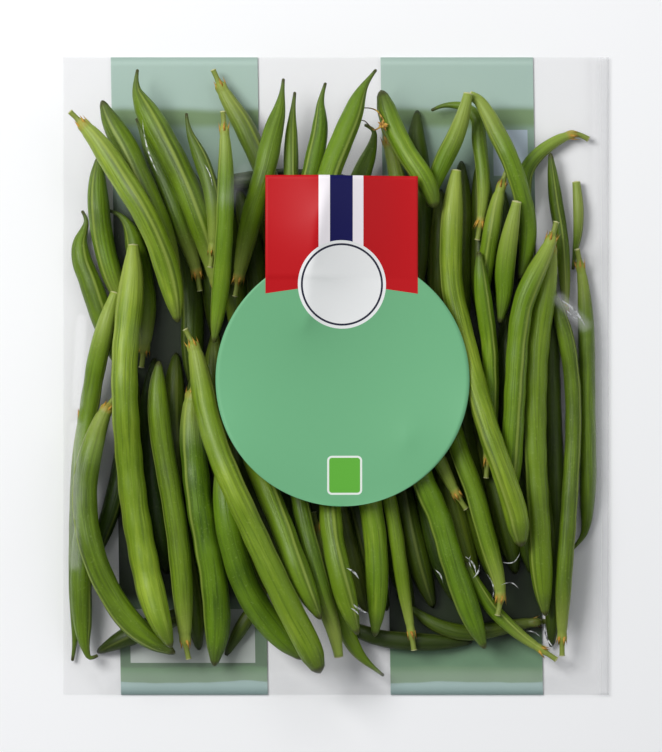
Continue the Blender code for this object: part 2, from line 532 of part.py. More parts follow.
# Label: a round sticker with a tag above, following the front film.
rows = []
for turn in range(LABEL_FIRST_TURN, LABEL_LAST_TURN, LABEL_TURN):
    half = LABEL_RADIUS * math.cos(math.radians(turn))
    y = LABEL_CENTRE[1] + LABEL_RADIUS * math.sin(math.radians(turn))
    rows.append((LABEL_CENTRE[0] - half, LABEL_CENTRE[0] + half, y))
for y in np.linspace(rows[-1][2] + TAG_FIRST_ROW, TAG_TOP, TAG_ROWS):
    rows.append((TAG_LEFT, TAG_RIGHT, y))
label_x = np.array([np.linspace(row[0], row[1], LABEL_COLUMNS) for row in rows]).T
label_y = np.array([[row[2]] * LABEL_COLUMNS for row in rows]).T
steps = np.linspace(0, 1, LABEL_SAMPLES)
i, j, u, v = (grid.ravel() for grid in np.meshgrid(
    np.arange(LABEL_COLUMNS - 1), np.arange(len(rows) - 1), steps, steps, indexing="ij"))
label_corners, label_shares = facet(i.astype(int), j.astype(int), u, v, len(rows))
over_x = (label_x.ravel()[label_corners] * label_shares).sum(axis=1)
over_y = (label_y.ravel()[label_corners] * label_shares).sum(axis=1)
under_corners, under_shares = facet_at(outer_x[:, 0], outer_y[0], over_x, over_y)
under_top = (film_top.ravel()[under_corners] * under_shares).sum(axis=1) + LABEL_GAP
label_free = np.ones(label_x.shape, bool)
label_pulls = np.ones((4, *label_x.shape))
label_z = drape(np.zeros(label_x.shape), label_free, label_pulls, label_corners, label_shares, under_top)
sheet("label", (label_x, label_x), (label_y, label_y), label_z, label_z + LABEL_THICKNESS, label_face)
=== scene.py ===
# Looks for the bagged green bean bundle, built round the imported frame.

import math

import bpy
import numpy as np
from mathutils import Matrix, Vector


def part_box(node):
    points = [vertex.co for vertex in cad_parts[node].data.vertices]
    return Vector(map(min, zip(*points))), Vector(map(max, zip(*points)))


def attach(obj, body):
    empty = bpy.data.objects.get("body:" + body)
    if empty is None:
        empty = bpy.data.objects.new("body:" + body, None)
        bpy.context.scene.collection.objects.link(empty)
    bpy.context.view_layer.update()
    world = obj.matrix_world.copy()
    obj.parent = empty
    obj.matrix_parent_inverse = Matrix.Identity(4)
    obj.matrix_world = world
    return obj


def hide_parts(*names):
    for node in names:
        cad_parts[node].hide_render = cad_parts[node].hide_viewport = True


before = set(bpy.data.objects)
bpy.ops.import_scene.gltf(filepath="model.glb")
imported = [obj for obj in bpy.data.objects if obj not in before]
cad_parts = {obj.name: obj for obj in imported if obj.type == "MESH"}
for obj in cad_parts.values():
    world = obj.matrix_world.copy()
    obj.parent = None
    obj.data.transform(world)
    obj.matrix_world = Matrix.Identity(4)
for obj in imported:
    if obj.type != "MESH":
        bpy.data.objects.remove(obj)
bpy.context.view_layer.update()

MM = 0.001
# The image is taken as 662 by 752 pixels.
IMAGE_HEIGHT = 752
MM_PER_PIXEL = 0.30
LABEL_CENTRE = (2.0, -1.0)
LABEL_RADIUS = 38.1
TAG_LEFT = -21.1
TAG_RIGHT = 24.6
TAG_TOP = 60.0

scene = bpy.context.scene
scene.view_settings.view_transform = "Standard"


# Shader helpers
class Graph:
    """Short calls for building one material's nodes."""

    def __init__(self, name):
        self.material = bpy.data.materials.new(name)
        self.material.use_nodes = True
        self.tree = self.material.node_tree
        self.shader = self.tree.nodes["Principled BSDF"]

    def node(self, kind, **settings):
        made = self.tree.nodes.new(kind)
        for key, value in settings.items():
            setattr(made, key, value)
        return made

    def put(self, value, socket):
        if isinstance(value, bpy.types.NodeSocket):
            self.tree.links.new(value, socket)
        elif hasattr(socket.default_value, "__len__") and len(socket.default_value) == 4:
            socket.default_value = (*value[:3], 1.0)
        else:
            socket.default_value = value

    def math(self, operation, a, b=0.0, c=0.0, clamp=False):
        made = self.node("ShaderNodeMath", operation=operation, use_clamp=clamp)
        for value, socket in zip((a, b, c), made.inputs):
            self.put(value, socket)
        return made.outputs[0]

    def mix(self, factor, a, b):
        made = self.node("ShaderNodeMix", data_type="RGBA")
        self.put(factor, made.inputs[0])
        self.put(a, made.inputs[6])
        self.put(b, made.inputs[7])
        return made.outputs[2]

    def ramp(self, value, low, high, out_low=0.0, out_high=1.0, smooth=True):
        made = self.node("ShaderNodeMapRange", interpolation_type="SMOOTHSTEP" if smooth else "LINEAR")
        for item, socket in zip((value, low, high, out_low, out_high), made.inputs):
            self.put(item, socket)
        return made.outputs[0]

    def noise(self, vector, scale, detail=2.0, roughness=0.5):
        made = self.node("ShaderNodeTexNoise")
        self.put(vector, made.inputs["Vector"])
        made.inputs["Scale"].default_value = scale
        made.inputs["Detail"].default_value = detail
        made.inputs["Roughness"].default_value = roughness
        return made.outputs["Fac"]

    def place(self):
        return self.node("ShaderNodeTexCoord").outputs["Object"]

    def split(self, vector):
        made = self.node("ShaderNodeSeparateXYZ")
        self.put(vector, made.inputs[0])
        return made.outputs

    def join(self, x, y, z):
        made = self.node("ShaderNodeCombineXYZ")
        for value, socket in zip((x, y, z), made.inputs):
            self.put(value, socket)
        return made.outputs[0]

    def plan_mm(self):
        """Places across and along the object, in mm."""
        place = self.split(self.place())
        return self.math("MULTIPLY", place[0], 1 / MM), self.math("MULTIPLY", place[1], 1 / MM)

    def between(self, value, low, high):
        """1 between two values and 0 outside them."""
        above = self.math("GREATER_THAN", value, low)
        return self.math("MULTIPLY", above, self.math("LESS_THAN", value, high))

    def attribute(self, name):
        return self.node("ShaderNodeAttribute", attribute_name=name)

    def bump(self, height, strength, distance):
        made = self.node("ShaderNodeBump")
        made.inputs["Strength"].default_value = strength
        made.inputs["Distance"].default_value = distance
        self.put(height, made.inputs["Height"])
        return made.outputs[0]


def srgb(r, g, b):
    """Shader colour from 0 to 255 screen values."""
    shares = [c / 255 for c in (r, g, b)]
    return tuple(c / 12.92 if c < 0.04045 else ((c + 0.055) / 1.055) ** 2.4 for c in shares)


# Mesh helpers
def add_mesh(name, points, faces, skin, smooth=True):
    mesh = bpy.data.meshes.new(name)
    mesh.from_pydata((np.asarray(points) * MM).tolist(), [], faces)
    mesh.materials.append(skin)
    mesh.polygons.foreach_set("use_smooth", [smooth] * len(mesh.polygons))
    mesh.update()
    made = bpy.data.objects.new(name, mesh)
    scene.collection.objects.link(made)
    return made


def store(mesh, name, values):
    layer = mesh.attributes.new(name, "FLOAT_VECTOR", "POINT")
    layer.data.foreach_set("vector", np.asarray(values, np.float32).ravel())


def piece(made, slot, *nodes):
    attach(made, "root")
    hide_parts(*nodes)


# Pods: the middle line of each CAD pod is read back from its rings
# Each ring of a CAD pod has six points. Faces are in one plane within these limits, the second in mm.
RING = 6
SAME_WAY = 0.9995
SAME_PLANE = 0.02


def rings_of(node):
    """Ring centres and radii of a CAD pod in mm, from one end to the other."""
    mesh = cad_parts[node].data
    points = np.array([v.co for v in mesh.vertices]) / MM
    _, first, index = np.unique(np.round(points, 3), axis=0, return_index=True, return_inverse=True)
    points = points[first]
    index = index.reshape(-1)
    beside = [set() for _ in points]
    for face in mesh.polygons:
        corners = [int(index[v]) for v in face.vertices]
        for a in corners:
            beside[a].update(corners)

    def levels(start):
        seen = set(start)
        rows = [sorted(start)]
        while True:
            more = set().union(*(beside[a] for a in rows[-1])) - seen
            if not more:
                return rows
            seen |= more
            rows.append(sorted(more))

    def flat_with(face):
        """All points on faces in one plane with this one: a pod's flat end has six."""
        together = set()
        for other in mesh.polygons:
            apart = abs((other.center - face.center).dot(face.normal)) / MM
            if other.normal.dot(face.normal) > SAME_WAY and apart < SAME_PLANE:
                together.update(int(index[v]) for v in other.vertices)
        return together

    far = levels([0])[-1]
    for face in mesh.polygons:
        if not any(int(index[v]) in far for v in face.vertices):
            continue
        cap = flat_with(face)
        if len(cap) != RING:
            continue
        rows = levels(sorted(cap))
        if all(len(row) == RING for row in rows):
            centres = np.array([points[row].mean(0) for row in rows])
            spread = [np.linalg.norm(points[row] - points[row].mean(0), axis=1).mean() for row in rows]
            return centres, np.array(spread)
    raise RuntimeError(f"no rings in {node}")


def spline(values, along, at):
    """Smooth curve through the rows of values, read at the distances at."""
    h = np.diff(along)[:, None]
    chord = np.diff(values, axis=0) / h
    slope = np.empty_like(values)
    slope[1:-1] = (chord[1:] * h[:-1] + chord[:-1] * h[1:]) / (h[1:] + h[:-1])
    slope[0] = 1.5 * chord[0] - 0.5 * slope[1]
    slope[-1] = 1.5 * chord[-1] - 0.5 * slope[-2]
    i = np.clip(np.searchsorted(along, at, side="right") - 1, 0, len(along) - 2)
    t = ((at - along[i]) / h[i, 0])[:, None]
    step = h[i]
    first = (2 * t**3 - 3 * t**2 + 1) * values[i] + (t**3 - 2 * t**2 + t) * step * slope[i]
    return first + (3 * t**2 - 2 * t**3) * values[i + 1] + (t**3 - t**2) * step * slope[i + 1]


POD_SIDES = 24
# A stalk shows in the CAD radii in mm: a thick end ring, a thin neck and a jump at the calyx.
STALK_END = 0.85
STALK_NECK = 0.95
CALYX_JUMP = 0.3
CUT_RADIUS = 1.15
# The stem end has closer rings, up to this far along the pod in mm.
STEM_REACH = 9.0
STEM_RINGS = 19
STEM_GAP = 0.4
# Stalk and cap: distance along, fixed radius in mm, and share of the widest radius.
CAP_ROWS = [
    (0.0, 0.95, 0.0), (0.5, 0.8, 0.0), (2.8, 0.78, 0.0), (4.2, 1.0, 0.0),
    (5.2, 0.5, 0.36), (6.2, 0.25, 0.46), (7.6, 0.0, 0.53),
]
# Radii are averaged over this many rings, and may grow by this much in mm.
SOFT_RINGS = 7
SOFT_GROWTH = 0.15
# Swellings over the seeds: spacing and its spread in mm, then how it wanders.
SEED_SPACING = 9.0
SEED_SPREAD = 2.5
SEED_WANDER = 0.9
SEED_WANDER_LENGTH = 27.0
SEEDS_FROM = 16
SEEDS_TO = 12
SEEDS_FADE = 12
SWELL_LEAST = 0.02
SWELL_SPREAD = 0.035
# A wandering line starts anywhere in its wave.
WANDER_START = 6
SEAM_TURN = (0.2, 1.5)
SEAM_WANDER = 0.35
SEAM_WANDER_LENGTH = 38.0
# Cross-section, as shares of the radius: sides pressed in, seam ridge, groove beside it, back ridge.
FLATTENING = 0.07
RIDGE = 0.035
RIDGE_WIDTH = 0.20
GROOVE = 0.03
GROOVE_TURN = 0.40
GROOVE_WIDTH = 0.18
BACK_RIDGE = 0.025
BACK_WIDTH = 0.25
LEAST_SHAPE = 0.15
LOBE_PLACE = 5.3
LOBE_REACH = 1.6
LOBE = 0.08
FLAT_CAP = 0.2
ROUND_CAP = 0.6
# Withered tips round the stalk, in mm.
SEPALS = 5
SEPAL_RING = 12
SEPAL_TIP_RING = 6
SEPAL_PLACE = 5.0
SEPAL_KIND = 2.0
SEPAL_SINK = 0.86
SEPAL_HALF = 0.6
SEPAL_THICK = 0.3
SEPAL_OUT = (1.1, 2.3)
SEPAL_ASIDE = 0.6
TIP_LOWEST = 0.7
# Kinds of first end that the bean skin reads.
STALKED_KIND = 1.0
CUT_KIND = 0.5
PLAIN_KIND = 0.0
# How light each pod is, from pod_01 on: 0 is the darkest green.
POD_LIGHT = [
    0.20, 0.35, 0.35, 0.30, 0.40, 0.45, 0.35, 0.25, 0.35, 0.40,
    0.30, 0.50, 0.55, 0.30, 0.30, 0.25, 0.65, 0.30, 0.40, 0.50,
    0.42, 0.38, 0.45, 0.35, 0.45, 0.35, 0.30, 0.40, 0.40, 0.50,
    0.25, 0.45, 0.50, 0.30, 0.55, 0.60, 0.60, 0.55, 0.50, 0.75,
    0.70, 0.50, 0.45, 0.65, 0.85, 0.85, 0.70, 0.50, 0.60, 0.85,
]
POD_STEP = 1.1
LOW_POD_STEP = 1.5
POD_SEED = 100
LOW_POD_SEED = 300
# Spheres in mm, along every pod, that the film is draped over: x, y, z and radius.
pod_spheres = []
# A thin point is noted as a sphere wide enough for the film's grid to meet it.
POINT_SPHERE = 0.9
POINT_DROP = 0.8


def keep_under_film(place):
    """Note a thin point that the film has to pass over."""
    pod_spheres.append((place[0], place[1], place[2] - POINT_DROP, POINT_SPHERE))


def bell(value, middle, width):
    return np.exp(-(((value - middle) / width) ** 2))


def fine_pod(centres, radii, seed, step, light=None):
    """Skin of one pod through ring centres: points, faces and the values its material reads."""
    rng = np.random.default_rng(seed)
    along = np.concatenate([[0.0], np.cumsum(np.linalg.norm(np.diff(centres, axis=0), axis=1))])
    length = along[-1]

    def stalked(end, neck, calyx):
        return end > STALK_END and neck < STALK_NECK and calyx > neck + CALYX_JUMP

    stem_first = stalked(radii[0], radii[1], radii[2])
    stem_last = stalked(radii[-1], radii[-2], radii[-3])
    if not stem_first and (stem_last or radii[-1] > radii[0]):
        centres, radii = centres[::-1], radii[::-1]
        along = length - along[::-1]
        stem_first = stem_last
    cut_first = not stem_first and radii[0] > CUT_RADIUS
    s = np.linspace(0, length, int(length / step) + 2)
    if stem_first:
        s = np.concatenate([np.linspace(0, STEM_REACH, STEM_RINGS), s[s > STEM_REACH + STEM_GAP]])
    middle = spline(centres, along, s)
    radius = np.interp(s, along, radii)
    near_stem = (s < STEM_REACH) if stem_first else np.zeros_like(s, bool)
    padded = np.pad(radius, SOFT_RINGS // 2, mode="edge")
    soft = np.convolve(padded, np.ones(SOFT_RINGS) / SOFT_RINGS, mode="valid")
    radius = np.where(near_stem, radius, np.minimum(soft, radius + SOFT_GROWTH))
    if stem_first:
        # A short stalk opens into a low cap, hardly wider than the neck below it.
        body = radii.max()
        at = [row[0] for row in CAP_ROWS] + [STEM_REACH]
        cap = [fixed + part * body for _, fixed, part in CAP_ROWS] + [radius[STEM_RINGS]]
        radius = np.where(near_stem, np.interp(s, at, cap), radius)
    # Seeds swell the skin a little, at a wandering spacing.
    wave = SEED_SPACING + SEED_SPREAD * rng.random()
    wander = np.sin(s / SEED_WANDER_LENGTH + rng.random() * WANDER_START)
    phase = s / wave * math.tau + SEED_WANDER * wander
    inside = np.clip((s - SEEDS_FROM) / SEEDS_FADE, 0, 1)
    inside = inside * np.clip((length - s - SEEDS_TO) / SEEDS_FADE, 0, 1)
    swell = SWELL_LEAST + SWELL_SPREAD * rng.random()
    radius = radius * (1 - inside * swell * (0.5 - 0.5 * np.cos(phase)))
    pod_spheres.extend((*place, r) for place, r in zip(middle, radius))
    tangent = np.gradient(middle, s, axis=0)
    tangent /= np.linalg.norm(tangent, axis=1)[:, None]
    side = np.cross(tangent, (0.0, 0.0, 1.0))
    side /= np.linalg.norm(side, axis=1)[:, None]
    over = np.cross(side, tangent)
    # The seam runs along the pod and wanders slowly round it.
    seam = rng.choice([-1, 1]) * rng.uniform(*SEAM_TURN)
    seam = seam + SEAM_WANDER * np.sin(s / SEAM_WANDER_LENGTH + rng.random() * WANDER_START)
    theta = np.arange(POD_SIDES) * math.tau / POD_SIDES
    turn = theta[None, :] + seam[:, None]
    from_seam = np.minimum(theta, math.tau - theta)
    flat = 1 - FLATTENING * np.abs(np.sin(theta))[None, :] * inside[:, None]
    ridge = RIDGE * bell(from_seam, 0.0, RIDGE_WIDTH)
    ridge = ridge - GROOVE * bell(from_seam, GROOVE_TURN, GROOVE_WIDTH)
    back = BACK_RIDGE * bell(theta, math.pi, BACK_WIDTH)
    shape = flat + (ridge + back)[None, :] * np.clip(inside + LEAST_SHAPE, 0, 1)[:, None]
    if stem_first:
        # Small lobes on the calyx.
        lobe = np.clip(1 - np.abs(s - LOBE_PLACE) / LOBE_REACH, 0, 1)
        waves = np.cos(SEPALS * theta + rng.random() * WANDER_START)
        shape = shape + LOBE * lobe[:, None] * waves[None, :]
    out = np.cos(turn)[..., None] * over[:, None, :] + np.sin(turn)[..., None] * side[:, None, :]
    skin_points = (middle[:, None, :] + out * (radius[:, None] * shape)[..., None]).reshape(-1, 3)
    count = len(s)
    faces = []
    for i in range(count - 1):
        for j in range(POD_SIDES):
            a = i * POD_SIDES + j
            b = i * POD_SIDES + (j + 1) % POD_SIDES
            faces.append((a, b, b + POD_SIDES, a + POD_SIDES))
    first = len(skin_points)
    for j in range(POD_SIDES):
        k = (j + 1) % POD_SIDES
        faces.append((first, k, j))
        faces.append((first + 1, (count - 1) * POD_SIDES + j, (count - 1) * POD_SIDES + k))
    first_cap = FLAT_CAP if stem_first or cut_first else ROUND_CAP
    caps = [middle[0] - tangent[0] * radius[0] * first_cap]
    caps.append(middle[-1] + tangent[-1] * radius[-1] * ROUND_CAP)
    points = np.concatenate([skin_points, caps])
    kind = STALKED_KIND if stem_first else CUT_KIND if cut_first else PLAIN_KIND
    from_first = np.repeat(s, POD_SIDES)
    around = np.tile(theta, count)
    run = np.column_stack([from_first, np.cos(around), np.sin(around)])
    run = np.concatenate([run, [[0, 0, 0], [length, 0, 0]]])
    to_tail = length - from_first if kind else np.minimum(from_first, length - from_first)
    ends = np.column_stack([from_first, to_tail, np.full_like(from_first, kind)])
    ends = np.concatenate([ends, [[0, to_tail[0], kind], [length, 0, kind]]])
    if stem_first:
        # Withered tips of the calyx stand up round the stalk.
        base_at = middle[SEPAL_RING]
        tip_at = middle[SEPAL_TIP_RING]
        for turn in np.arange(SEPALS) * math.tau / SEPALS + rng.random():
            way = math.cos(turn) * over[SEPAL_RING] + math.sin(turn) * side[SEPAL_RING]
            beside = math.cos(turn) * side[SEPAL_RING] - math.sin(turn) * over[SEPAL_RING]
            base = base_at + way * radius[SEPAL_RING] * SEPAL_SINK
            tip = tip_at + way * rng.uniform(*SEPAL_OUT)
            tip = tip + beside * rng.uniform(-SEPAL_ASIDE, SEPAL_ASIDE)
            tip[2] = max(tip[2], TIP_LOWEST)
            keep_under_film(tip)
            first = len(points)
            half = beside * SEPAL_HALF
            thick = way * SEPAL_THICK
            corners = [base + half, base + thick, base - half, base - thick, tip]
            points = np.concatenate([points, corners])
            faces += [(first + 3, first + 2, first + 1, first)]
            faces += [(first + k, first + (k + 1) % 4, first + 4) for k in range(4)]
            run = np.concatenate([run, [[SEPAL_PLACE, math.cos(turn), math.sin(turn)]] * len(corners)])
            ends = np.concatenate([ends, [[SEPAL_PLACE, length - SEPAL_PLACE, SEPAL_KIND]] * len(corners)])
    tone = [rng.random(), rng.random(), rng.random()]
    if light is not None:
        tone[0] = light
    tone = np.tile(tone, (len(points), 1))
    return points, faces, run, ends, tone


def pod_piece(name, made, skin, node):
    points = np.concatenate([m[0] for m in made])
    lifts = np.cumsum([0] + [len(m[0]) for m in made])
    faces = [tuple(int(v + lift) for v in face) for m, lift in zip(made, lifts) for face in m[1]]
    bean = add_mesh(name, points, faces, skin)
    for attribute, place in (("run", 2), ("ends", 3), ("tone", 4)):
        store(bean.data, attribute, np.concatenate([m[place] for m in made]))
    piece(bean, "pod_skin", node)


# The lowest layer: its pods lie flat on the back film, along the same plan routes as in the solids.
PLAN_UNIT = 6 / 7
POD_LOWEST = 0.9
# The lowest pods keep this share of their own colour; the rest is painted shade.
LOW_UNSHADED_SHARE = 0.36
LOW_SAMPLES = 80
LOW_RINGS = 8
# How a pod of the lowest layer ends: distance along, fixed radius in mm, and share of its radius.
LOW_ENDS = {
    "stem": [(0.0, 0.9, 0.0), (3.6, 0.85, 0.0), (4.3, 0.9, 0.25), (5.8, 1.0, 0.3), (7.0, 0.0, 0.52),
             (11.5, 0.0, 0.70), (18.0, 0.0, 0.90), (26.0, 0.0, 1.0)],
    "tail": [(0.0, 0.4, 0.0), (3.4, 0.65, 0.0), (6.4, 0.4, 0.2), (9.5, 0.0, 0.62), (15.0, 0.0, 0.86),
             (22.0, 0.0, 1.0)],
    "tip": [(0.0, 0.45, 0.0), (1.2, 0.4, 0.22), (3.5, 0.0, 0.56), (8.0, 0.0, 0.80), (15.5, 0.0, 1.0)],
}
# Each pod of the lowest layer: width, both ends and its corners, in plan units.
LOW_PODS = [
    # Left, below the middle
    (8.6, "tip", "tip", [(-72, 2), (-73, -20), (-72, -42), (-69, -62), (-66, -76)]),
    (8.6, "tip", "tip", [(-64.4, 6), (-65.4, -20), (-64.4, -42), (-61.6, -60), (-60, -70)]),
    (8.6, "tip", "tip", [(-56.8, 8), (-57.8, -20), (-56.8, -42), (-53.9, -62), (-50.6, -82), (-48.6, -97)]),
    (8.6, "tip", "tip", [(-49.2, 4), (-50.2, -20), (-49.2, -42), (-46.8, -60), (-44, -80)]),
    (7.2, "tip", "tail", [(-71, -8), (-74, -22), (-77.3, -38), (-80.5, -50), (-84, -60), (-86.5, -72)]),
    (8.4, "tip", "stem", [(-84.5, -98), (-80, -95.5), (-74, -92.5), (-67, -89.5), (-58, -86), (-44, -79)]),
    # Middle, below the label
    (8.8, "tip", "tip", [(-43, 16), (-42.8, -6), (-42.4, -20), (-39.5, -34), (-35, -48), (-28, -64),
                         (-22, -78)]),
    (8.8, "tip", "tip", [(-36.5, -10), (-33, -30), (-27, -50), (-20.5, -66), (-14, -80)]),
    (8.8, "tip", "tip", [(-29, -14), (-25, -34), (-19, -54), (-13, -70), (-7, -84)]),
    (8.8, "tip", "tip", [(-20, -18), (-16.5, -38), (-11.5, -56), (-6.5, -72), (-1, -86)]),
    (8.8, "tip", "tip", [(-11.5, -18), (-8.5, -38), (-4.5, -56), (0.5, -72), (5, -86)]),
    (8.8, "tip", "tip", [(-3, -20), (-0.5, -40), (3, -56), (7.5, -72), (11, -84)]),
    (8.8, "tip", "tip", [(5, -20), (7, -40), (10.5, -56), (14.5, -72), (18, -83)]),
    (6.6, "tail", "tip", [(-6, -84), (6, -89.5), (14, -92.5), (24, -94), (36, -94.5), (48, -94.5)]),
    (6.4, "stem", "tip", [(-22, -70), (-29, -82), (-34, -90), (-39, -99)]),
    # Right, below the middle
    (8.8, "tip", "tip", [(12.5, -14), (14.4, -34), (18, -52), (22, -68), (27, -82)]),
    (8.8, "tip", "tip", [(20, -10), (22.2, -32), (26, -52), (30, -68), (34.5, -82)]),
    (9.4, "tip", "tip", [(27.6, -8), (30.1, -30), (33.8, -50), (38, -66), (42.3, -80)]),
    (9.4, "tip", "tip", [(35.6, -6), (38, -28), (41.8, -48), (45.8, -64), (50, -78)]),
    (9.6, "tip", "tip", [(43, 16), (43.6, -2), (45.8, -24), (49.6, -44), (53.6, -60), (57.6, -75)]),
    (9.6, "tip", "tip", [(51, 6), (53.2, -18), (56.8, -38), (60.4, -54), (63.8, -70)]),
    (6.2, "tail", "stem", [(22, -78), (30, -85), (37, -89), (45, -91), (56, -90), (66, -88), (77, -87)]),
    # Right edge
    (8.8, "tip", "tip", [(60.2, 22), (61, 4), (61.6, -8), (63, -28), (66.2, -50), (69.5, -70)]),
    (8.4, "tip", "tip", [(68, 48), (68.4, 26), (69.1, 0), (70.6, -26), (73.4, -50), (76, -76)]),
    (7.0, "stem", "tip", [(76, 42), (76.2, 22), (76.4, -2), (77.5, -28), (78.5, -52), (77.5, -76),
                          (76.5, -96)]),
    # Top left
    (8.6, "tip", "tip", [(-62, 72), (-57, 58), (-53, 44), (-51, 28), (-51, 8), (-51, -4)]),
    (9.2, "tip", "tip", [(-54.5, 76), (-49, 62), (-45, 46), (-43.4, 30), (-43.2, 14)]),
    (8.6, "tip", "tip", [(-46, 72), (-41, 60), (-37.2, 44), (-35.4, 28), (-34.8, 10)]),
    (8.6, "tip", "tip", [(-34.5, 66), (-29.6, 44), (-27.6, 28), (-27, 6)]),
    (8.6, "tip", "tip", [(-28, 74), (-24.5, 60), (-21.8, 44), (-19.9, 28), (-19.4, 4)]),
    (6.8, "tip", "tip", [(-46, 68), (-30, 69.5), (-12, 70), (6, 67), (18, 60)]),
    # Top right
    (8.0, "tip", "stem", [(28.9, 94), (28.5, 85), (29.3, 75), (30, 62), (30, 45), (28, 25)]),
    (8.4, "tip", "tip", [(37.2, 66), (36.8, 50), (36.3, 34), (36, 14)]),
    (8.4, "tip", "tip", [(44.6, 76), (44.3, 62), (44, 44), (43.8, 26), (43.8, 8)]),
    (8.4, "tip", "tip", [(51.2, 78), (51.8, 62), (51.6, 44), (51.2, 20)]),
    (8.4, "tip", "tip", [(59, 66), (59.2, 48), (59, 34), (58.8, 20)]),
]


def low_rings(width, first, last, corners):
    """Ring centres and radii of a pod of the lowest layer."""
    places = np.array(corners, float) * PLAN_UNIT
    steps = np.concatenate([[0.0], np.cumsum(np.linalg.norm(np.diff(places, axis=0), axis=1))])
    rough = np.linspace(0, steps[-1], LOW_SAMPLES)
    places = spline(places, steps, rough)
    along = np.concatenate([[0.0], np.cumsum(np.linalg.norm(np.diff(places, axis=0), axis=1))])
    length = along[-1]
    body = width * PLAN_UNIT / 2
    start = [row[0] for row in LOW_ENDS[first]]
    end = [length - row[0] for row in LOW_ENDS[last]]
    between = list(np.linspace(start[-1], end[-1], LOW_RINGS))
    rings = np.unique(np.round(start + between + end, 3))
    radii = np.full(len(rings), body)
    for kind, away in ((first, rings), (last, length - rings)):
        rows = LOW_ENDS[kind]
        limits = [fixed + part * body for _, fixed, part in rows]
        radii = np.minimum(radii, np.interp(away, [row[0] for row in rows], limits))
    x = np.interp(rings, along, places[:, 0])
    y = np.interp(rings, along, places[:, 1])
    centres = np.column_stack([x, y, POD_LOWEST + radii])
    return centres, radii


# Bean skin. Noises: scale, detail and roughness. Fades: where they start and end, in mm along the pod.
STREAK_STRETCH = 0.022
STREAK_NOISE = (3.2, 4.0, 0.6)
FINE_STRETCH = 0.25
FINE_NOISE = (9.0, 3.0, 0.6)
PATCH_NOISE = (55.0, 2.0, 0.5)
SPECK_NOISE = (1400.0, 2.0, 0.5)
SPECK_EDGE = (0.60, 0.74)
SPECK_SHARE = 0.16
WRINKLE_STRETCH = 0.007
WRINKLE_NOISE = (4.6, 2.0, 0.5)
WRINKLE_EDGE = (0.52, 0.64)
WRINKLE_SHARE = 0.30
LOW_TONES = (0.0, 0.5)
HIGH_TONES = (0.5, 1.05)
YELLOWED_SHARE = 0.22
SEAM_LINE = (0.975, 0.996)
SEAM_SHARE = 0.40
SEAM_EDGE = (0.90, 0.965)
SEAM_EDGE_SHARE = 0.38
NECK_FADE = (24.0, 6.0)
NECK_SHARE = 0.45
TAIL_FADE = (9.5, 1.7)
TAIL_SHARE = 0.5
TIP_FADE = (2.0, 0.5)
TIP_SHARE = 0.7
CAP_FADE = (7.4, 6.2)
STALK_FADE = (4.2, 3.5)
CUT_FADE = (0.35, 0.1)
CUT_SHARE = 0.85
BEAN_DEEP = srgb(50, 80, 14)
BEAN_MIDDLE = srgb(100, 134, 22)
BEAN_BRIGHT = srgb(162, 188, 58)
BEAN_YELLOWED = srgb(140, 150, 44)
WRINKLE_DARK = srgb(44, 66, 12)
SEAM_DARK = srgb(54, 72, 16)
SEAM_PALE = srgb(180, 196, 92)
NECK_PALE = srgb(176, 190, 92)
TAIL_GREY = srgb(78, 92, 40)
TIP_BROWN = srgb(60, 52, 34)
CAP_GREEN = srgb(150, 158, 62)
CAP_RUSTY = srgb(184, 146, 62)
STALK_GREEN = srgb(132, 146, 62)
SEPAL_YELLOW = srgb(232, 186, 78)
SEPAL_BROWN = srgb(146, 92, 34)
CUT_CREAM = srgb(206, 204, 150)
SPECK_PALE = srgb(176, 196, 110)
# Painted shade: the near-black green that the lowest pods are pulled towards.
PAINTED_SHADE_GREEN = srgb(14, 22, 4)
BEAN_GLOSS = 0.28
BEAN_BUMP = 0.35
BEAN_BUMP_HEIGHT = 0.0003


